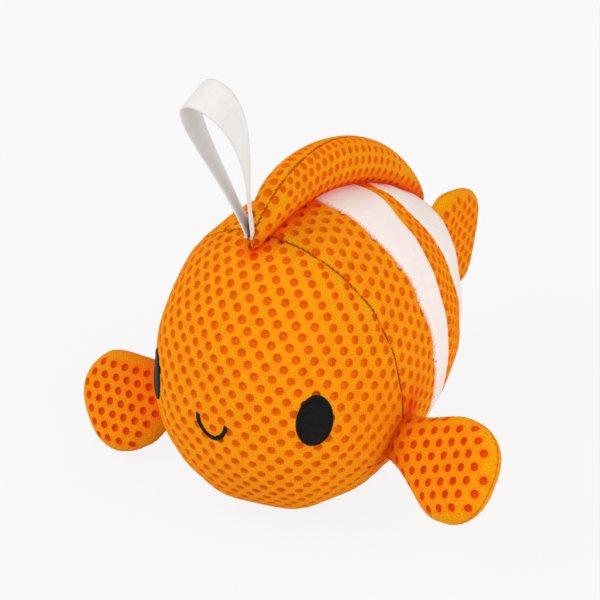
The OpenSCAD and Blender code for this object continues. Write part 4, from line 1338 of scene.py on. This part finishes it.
gill_arc = np.roll(gill_line, len(ring) // 2, 0)
gill_arc = gill_arc[gill_arc[:, 2] > 3]
seam_lines = [(gill_arc, GILL_SUNK), *((dart(side), DART_SUNK) for side in (-1, 1))]
seam_paths = [path for line, sunk in seam_lines for path in seam_stitches(line, body_normal(line), sunk)]
body_seams = threads("seam_stitches", seam_paths, STITCH_R, RED_THREAD, sides=5)
fray = threads("frayed_edges", [path for _, side in SIDES for path in frayed_edge(STRIPE1[0], side)],
               FRAY_R, ORANGE_THREAD, sides=4)
for piece in (body_seams, fray):
    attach(piece, "torso")
    squeeze(piece)
ridge_flat = np.stack([np.linspace(0.5, cloth_l * 0.9, 120), np.full(120, 0.2)], -1)
ridge_line, ridge_out = dorsal_chart(1)(ridge_flat)
ridge_paths = seam_stitches(ridge_line, ridge_out, RIDGE_SUNK)
ridge = threads("ridge_stitches", ridge_paths, STITCH_R, RED_THREAD, sides=5)
ride(ridge, "dorsal_fin")

# %% [markdown]
# ## Inside the toy
# Loose polyester fibre fills the body and the fins. None of it shows while the cover is whole, but a toy
# that is pressed has to give way inside as well. Strands could be grown, but nobody would see them, so
# each filling is made from its solid, remeshed and roughened into a wad.

# %% Filling
FLUFF_MM, FIN_FILLING_L, FIN_FILLING_SHARE = 0.9, 42.0, 0.85
BODY_VOXEL, FIN_VOXEL = 2.4, 1.0
# Size and strength of the tufts and of the strands in a wad
TUFT_MM, TUFT, STRAND_MM, STRAND = 4, 0.5, 1.5, 0.3


def wad(node, name, body, voxel_mm, moved=None):
    """A lumpy wad of fibre within the space of a filling, moved point by point where its cover is."""
    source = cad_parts[node].data.copy()
    rough = bpy.data.objects.new(name, source)
    bpy.context.scene.collection.objects.link(rough)
    remesh = rough.modifiers.new("even", "REMESH")
    remesh.mode = "VOXEL"
    remesh.voxel_size = voxel_mm * MM
    shaped = bpy.data.meshes.new_from_object(rough.evaluated_get(bpy.context.evaluated_depsgraph_get()))
    rough.modifiers.clear()
    rough.data = shaped
    if moved:
        places = np.array([v.co for v in shaped.vertices]) / MM
        shaped.vertices.foreach_set("co", (moved(places) * MM).astype(np.float32).ravel())
        shaped.update()
    normals = [v.normal.copy() for v in shaped.vertices]
    for vertex, normal in zip(shaped.vertices, normals):
        tuft, strand = (noise.noise(vertex.co / (size * MM)) for size in (TUFT_MM, STRAND_MM))
        lump = max(0.0, TUFT + TUFT * tuft + STRAND * strand)
        vertex.co -= normal * lump * min(FLUFF_MM, voxel_mm / 3) * MM
    shaped.materials.clear()
    shaped.materials.append(FIBRE)
    shaped.polygons.foreach_set("use_smooth", [True] * len(shaped.polygons))
    dress(rough, node, body)
    print(name, "faces:", len(shaped.polygons))
    return rough


def into_fin(side_name, side):
    """Moves the filling of a side fin to where its cover lies, a little smaller than before."""
    root, reach = FIN_ROOT * (side, 1, 1), FIN_REACH[side_name]
    axes = np.array(fin_axes(side_name, side))

    def moved(places):
        out, across, square = ((places - root) @ axes.T).T
        out = out * (reach + FIN_END_L) / FIN_FILLING_L
        across = FIN_FILLING_SHARE * across + FIN_END_LOW + FIN_SLIP[side_name] * np.maximum(reach - out, 0)
        return root + np.stack([out, across, FIN_FILLING_SHARE * square], -1) @ axes

    return moved


for side_name, side in SIDES:
    stuffing = wad(f"{side_name}_stuffing", f"{side_name}_stuffing_wad", f"{side_name}_flank", BODY_VOXEL)
    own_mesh(stuffing)
    wad(f"{side_name}_fin_filling", f"{side_name}_fin_wad", f"{side_name}_fin", FIN_VOXEL,
        into_fin(side_name, side))
wad("dorsal_filling", "dorsal_wad", "dorsal_fin", FIN_VOXEL)
wad("tail_filling", "tail_wad", "tail_fin", FIN_VOXEL)

# %% [markdown]
# ## Squeaker
# A bellows squeaker lies across the body: two caps, a soft sleeve with folds and a plug with a reed that
# sounds as the air is pressed out. The solid has sharp folds, and moulded ones are round, so the sleeve
# is turned anew from a wave. The caps, the plug and the reed are rigid and keep their solids.

# %% Squeaker
SQUEAKER_Y, SQUEAKER_Z = 8.0, AXIS_Z + 6.0
BELLOWS_R, BELLOWS_FOLD, BELLOWS_FOLDS, BELLOWS_L, BELLOWS_WALL = 17.0, 3.0, 5, 30.0, 1.4
BELLOWS_STEPS, BELLOWS_SIDES = 80, 48


def bellows_points(inset):
    """Rings of the bellows' wall, with rounded folds, along the squeaker's axis across the body."""
    along = np.linspace(-BELLOWS_L / 2, BELLOWS_L / 2, BELLOWS_STEPS)
    wave = 0.5 + 0.5 * np.cos(2 * math.pi * BELLOWS_FOLDS * (along / BELLOWS_L + 0.5))
    radius = BELLOWS_R - inset - BELLOWS_FOLD * wave
    turn = np.arange(BELLOWS_SIDES) * 2 * math.pi / BELLOWS_SIDES
    return np.stack([np.broadcast_to(along[:, None], (BELLOWS_STEPS, BELLOWS_SIDES)),
                     SQUEAKER_Y + radius[:, None] * np.cos(turn),
                     SQUEAKER_Z + radius[:, None] * np.sin(turn)], -1)


walls = np.concatenate([bellows_points(inset).reshape(-1, 3) for inset in (0.0, BELLOWS_WALL)])
bellows = link_mesh("squeaker_bellows_sleeve", walls, strip_faces(BELLOWS_STEPS, BELLOWS_SIDES, sleeve=True),
                    (SOFT_PLASTIC,))
dress(bellows, "squeaker_bellows", "torso")
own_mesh(bellows)
rigid_finishes = dict(squeaker_left_cap=SOFT_PLASTIC, squeaker_right_cap=SOFT_PLASTIC,
                      reed_plug=PLUG_PLASTIC, reed=REED_FILM)
for node, finish in rigid_finishes.items():
    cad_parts[node].data.materials.clear()
    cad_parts[node].data.materials.append(finish)
print("squeaker pieces:", 1 + len(rigid_finishes))
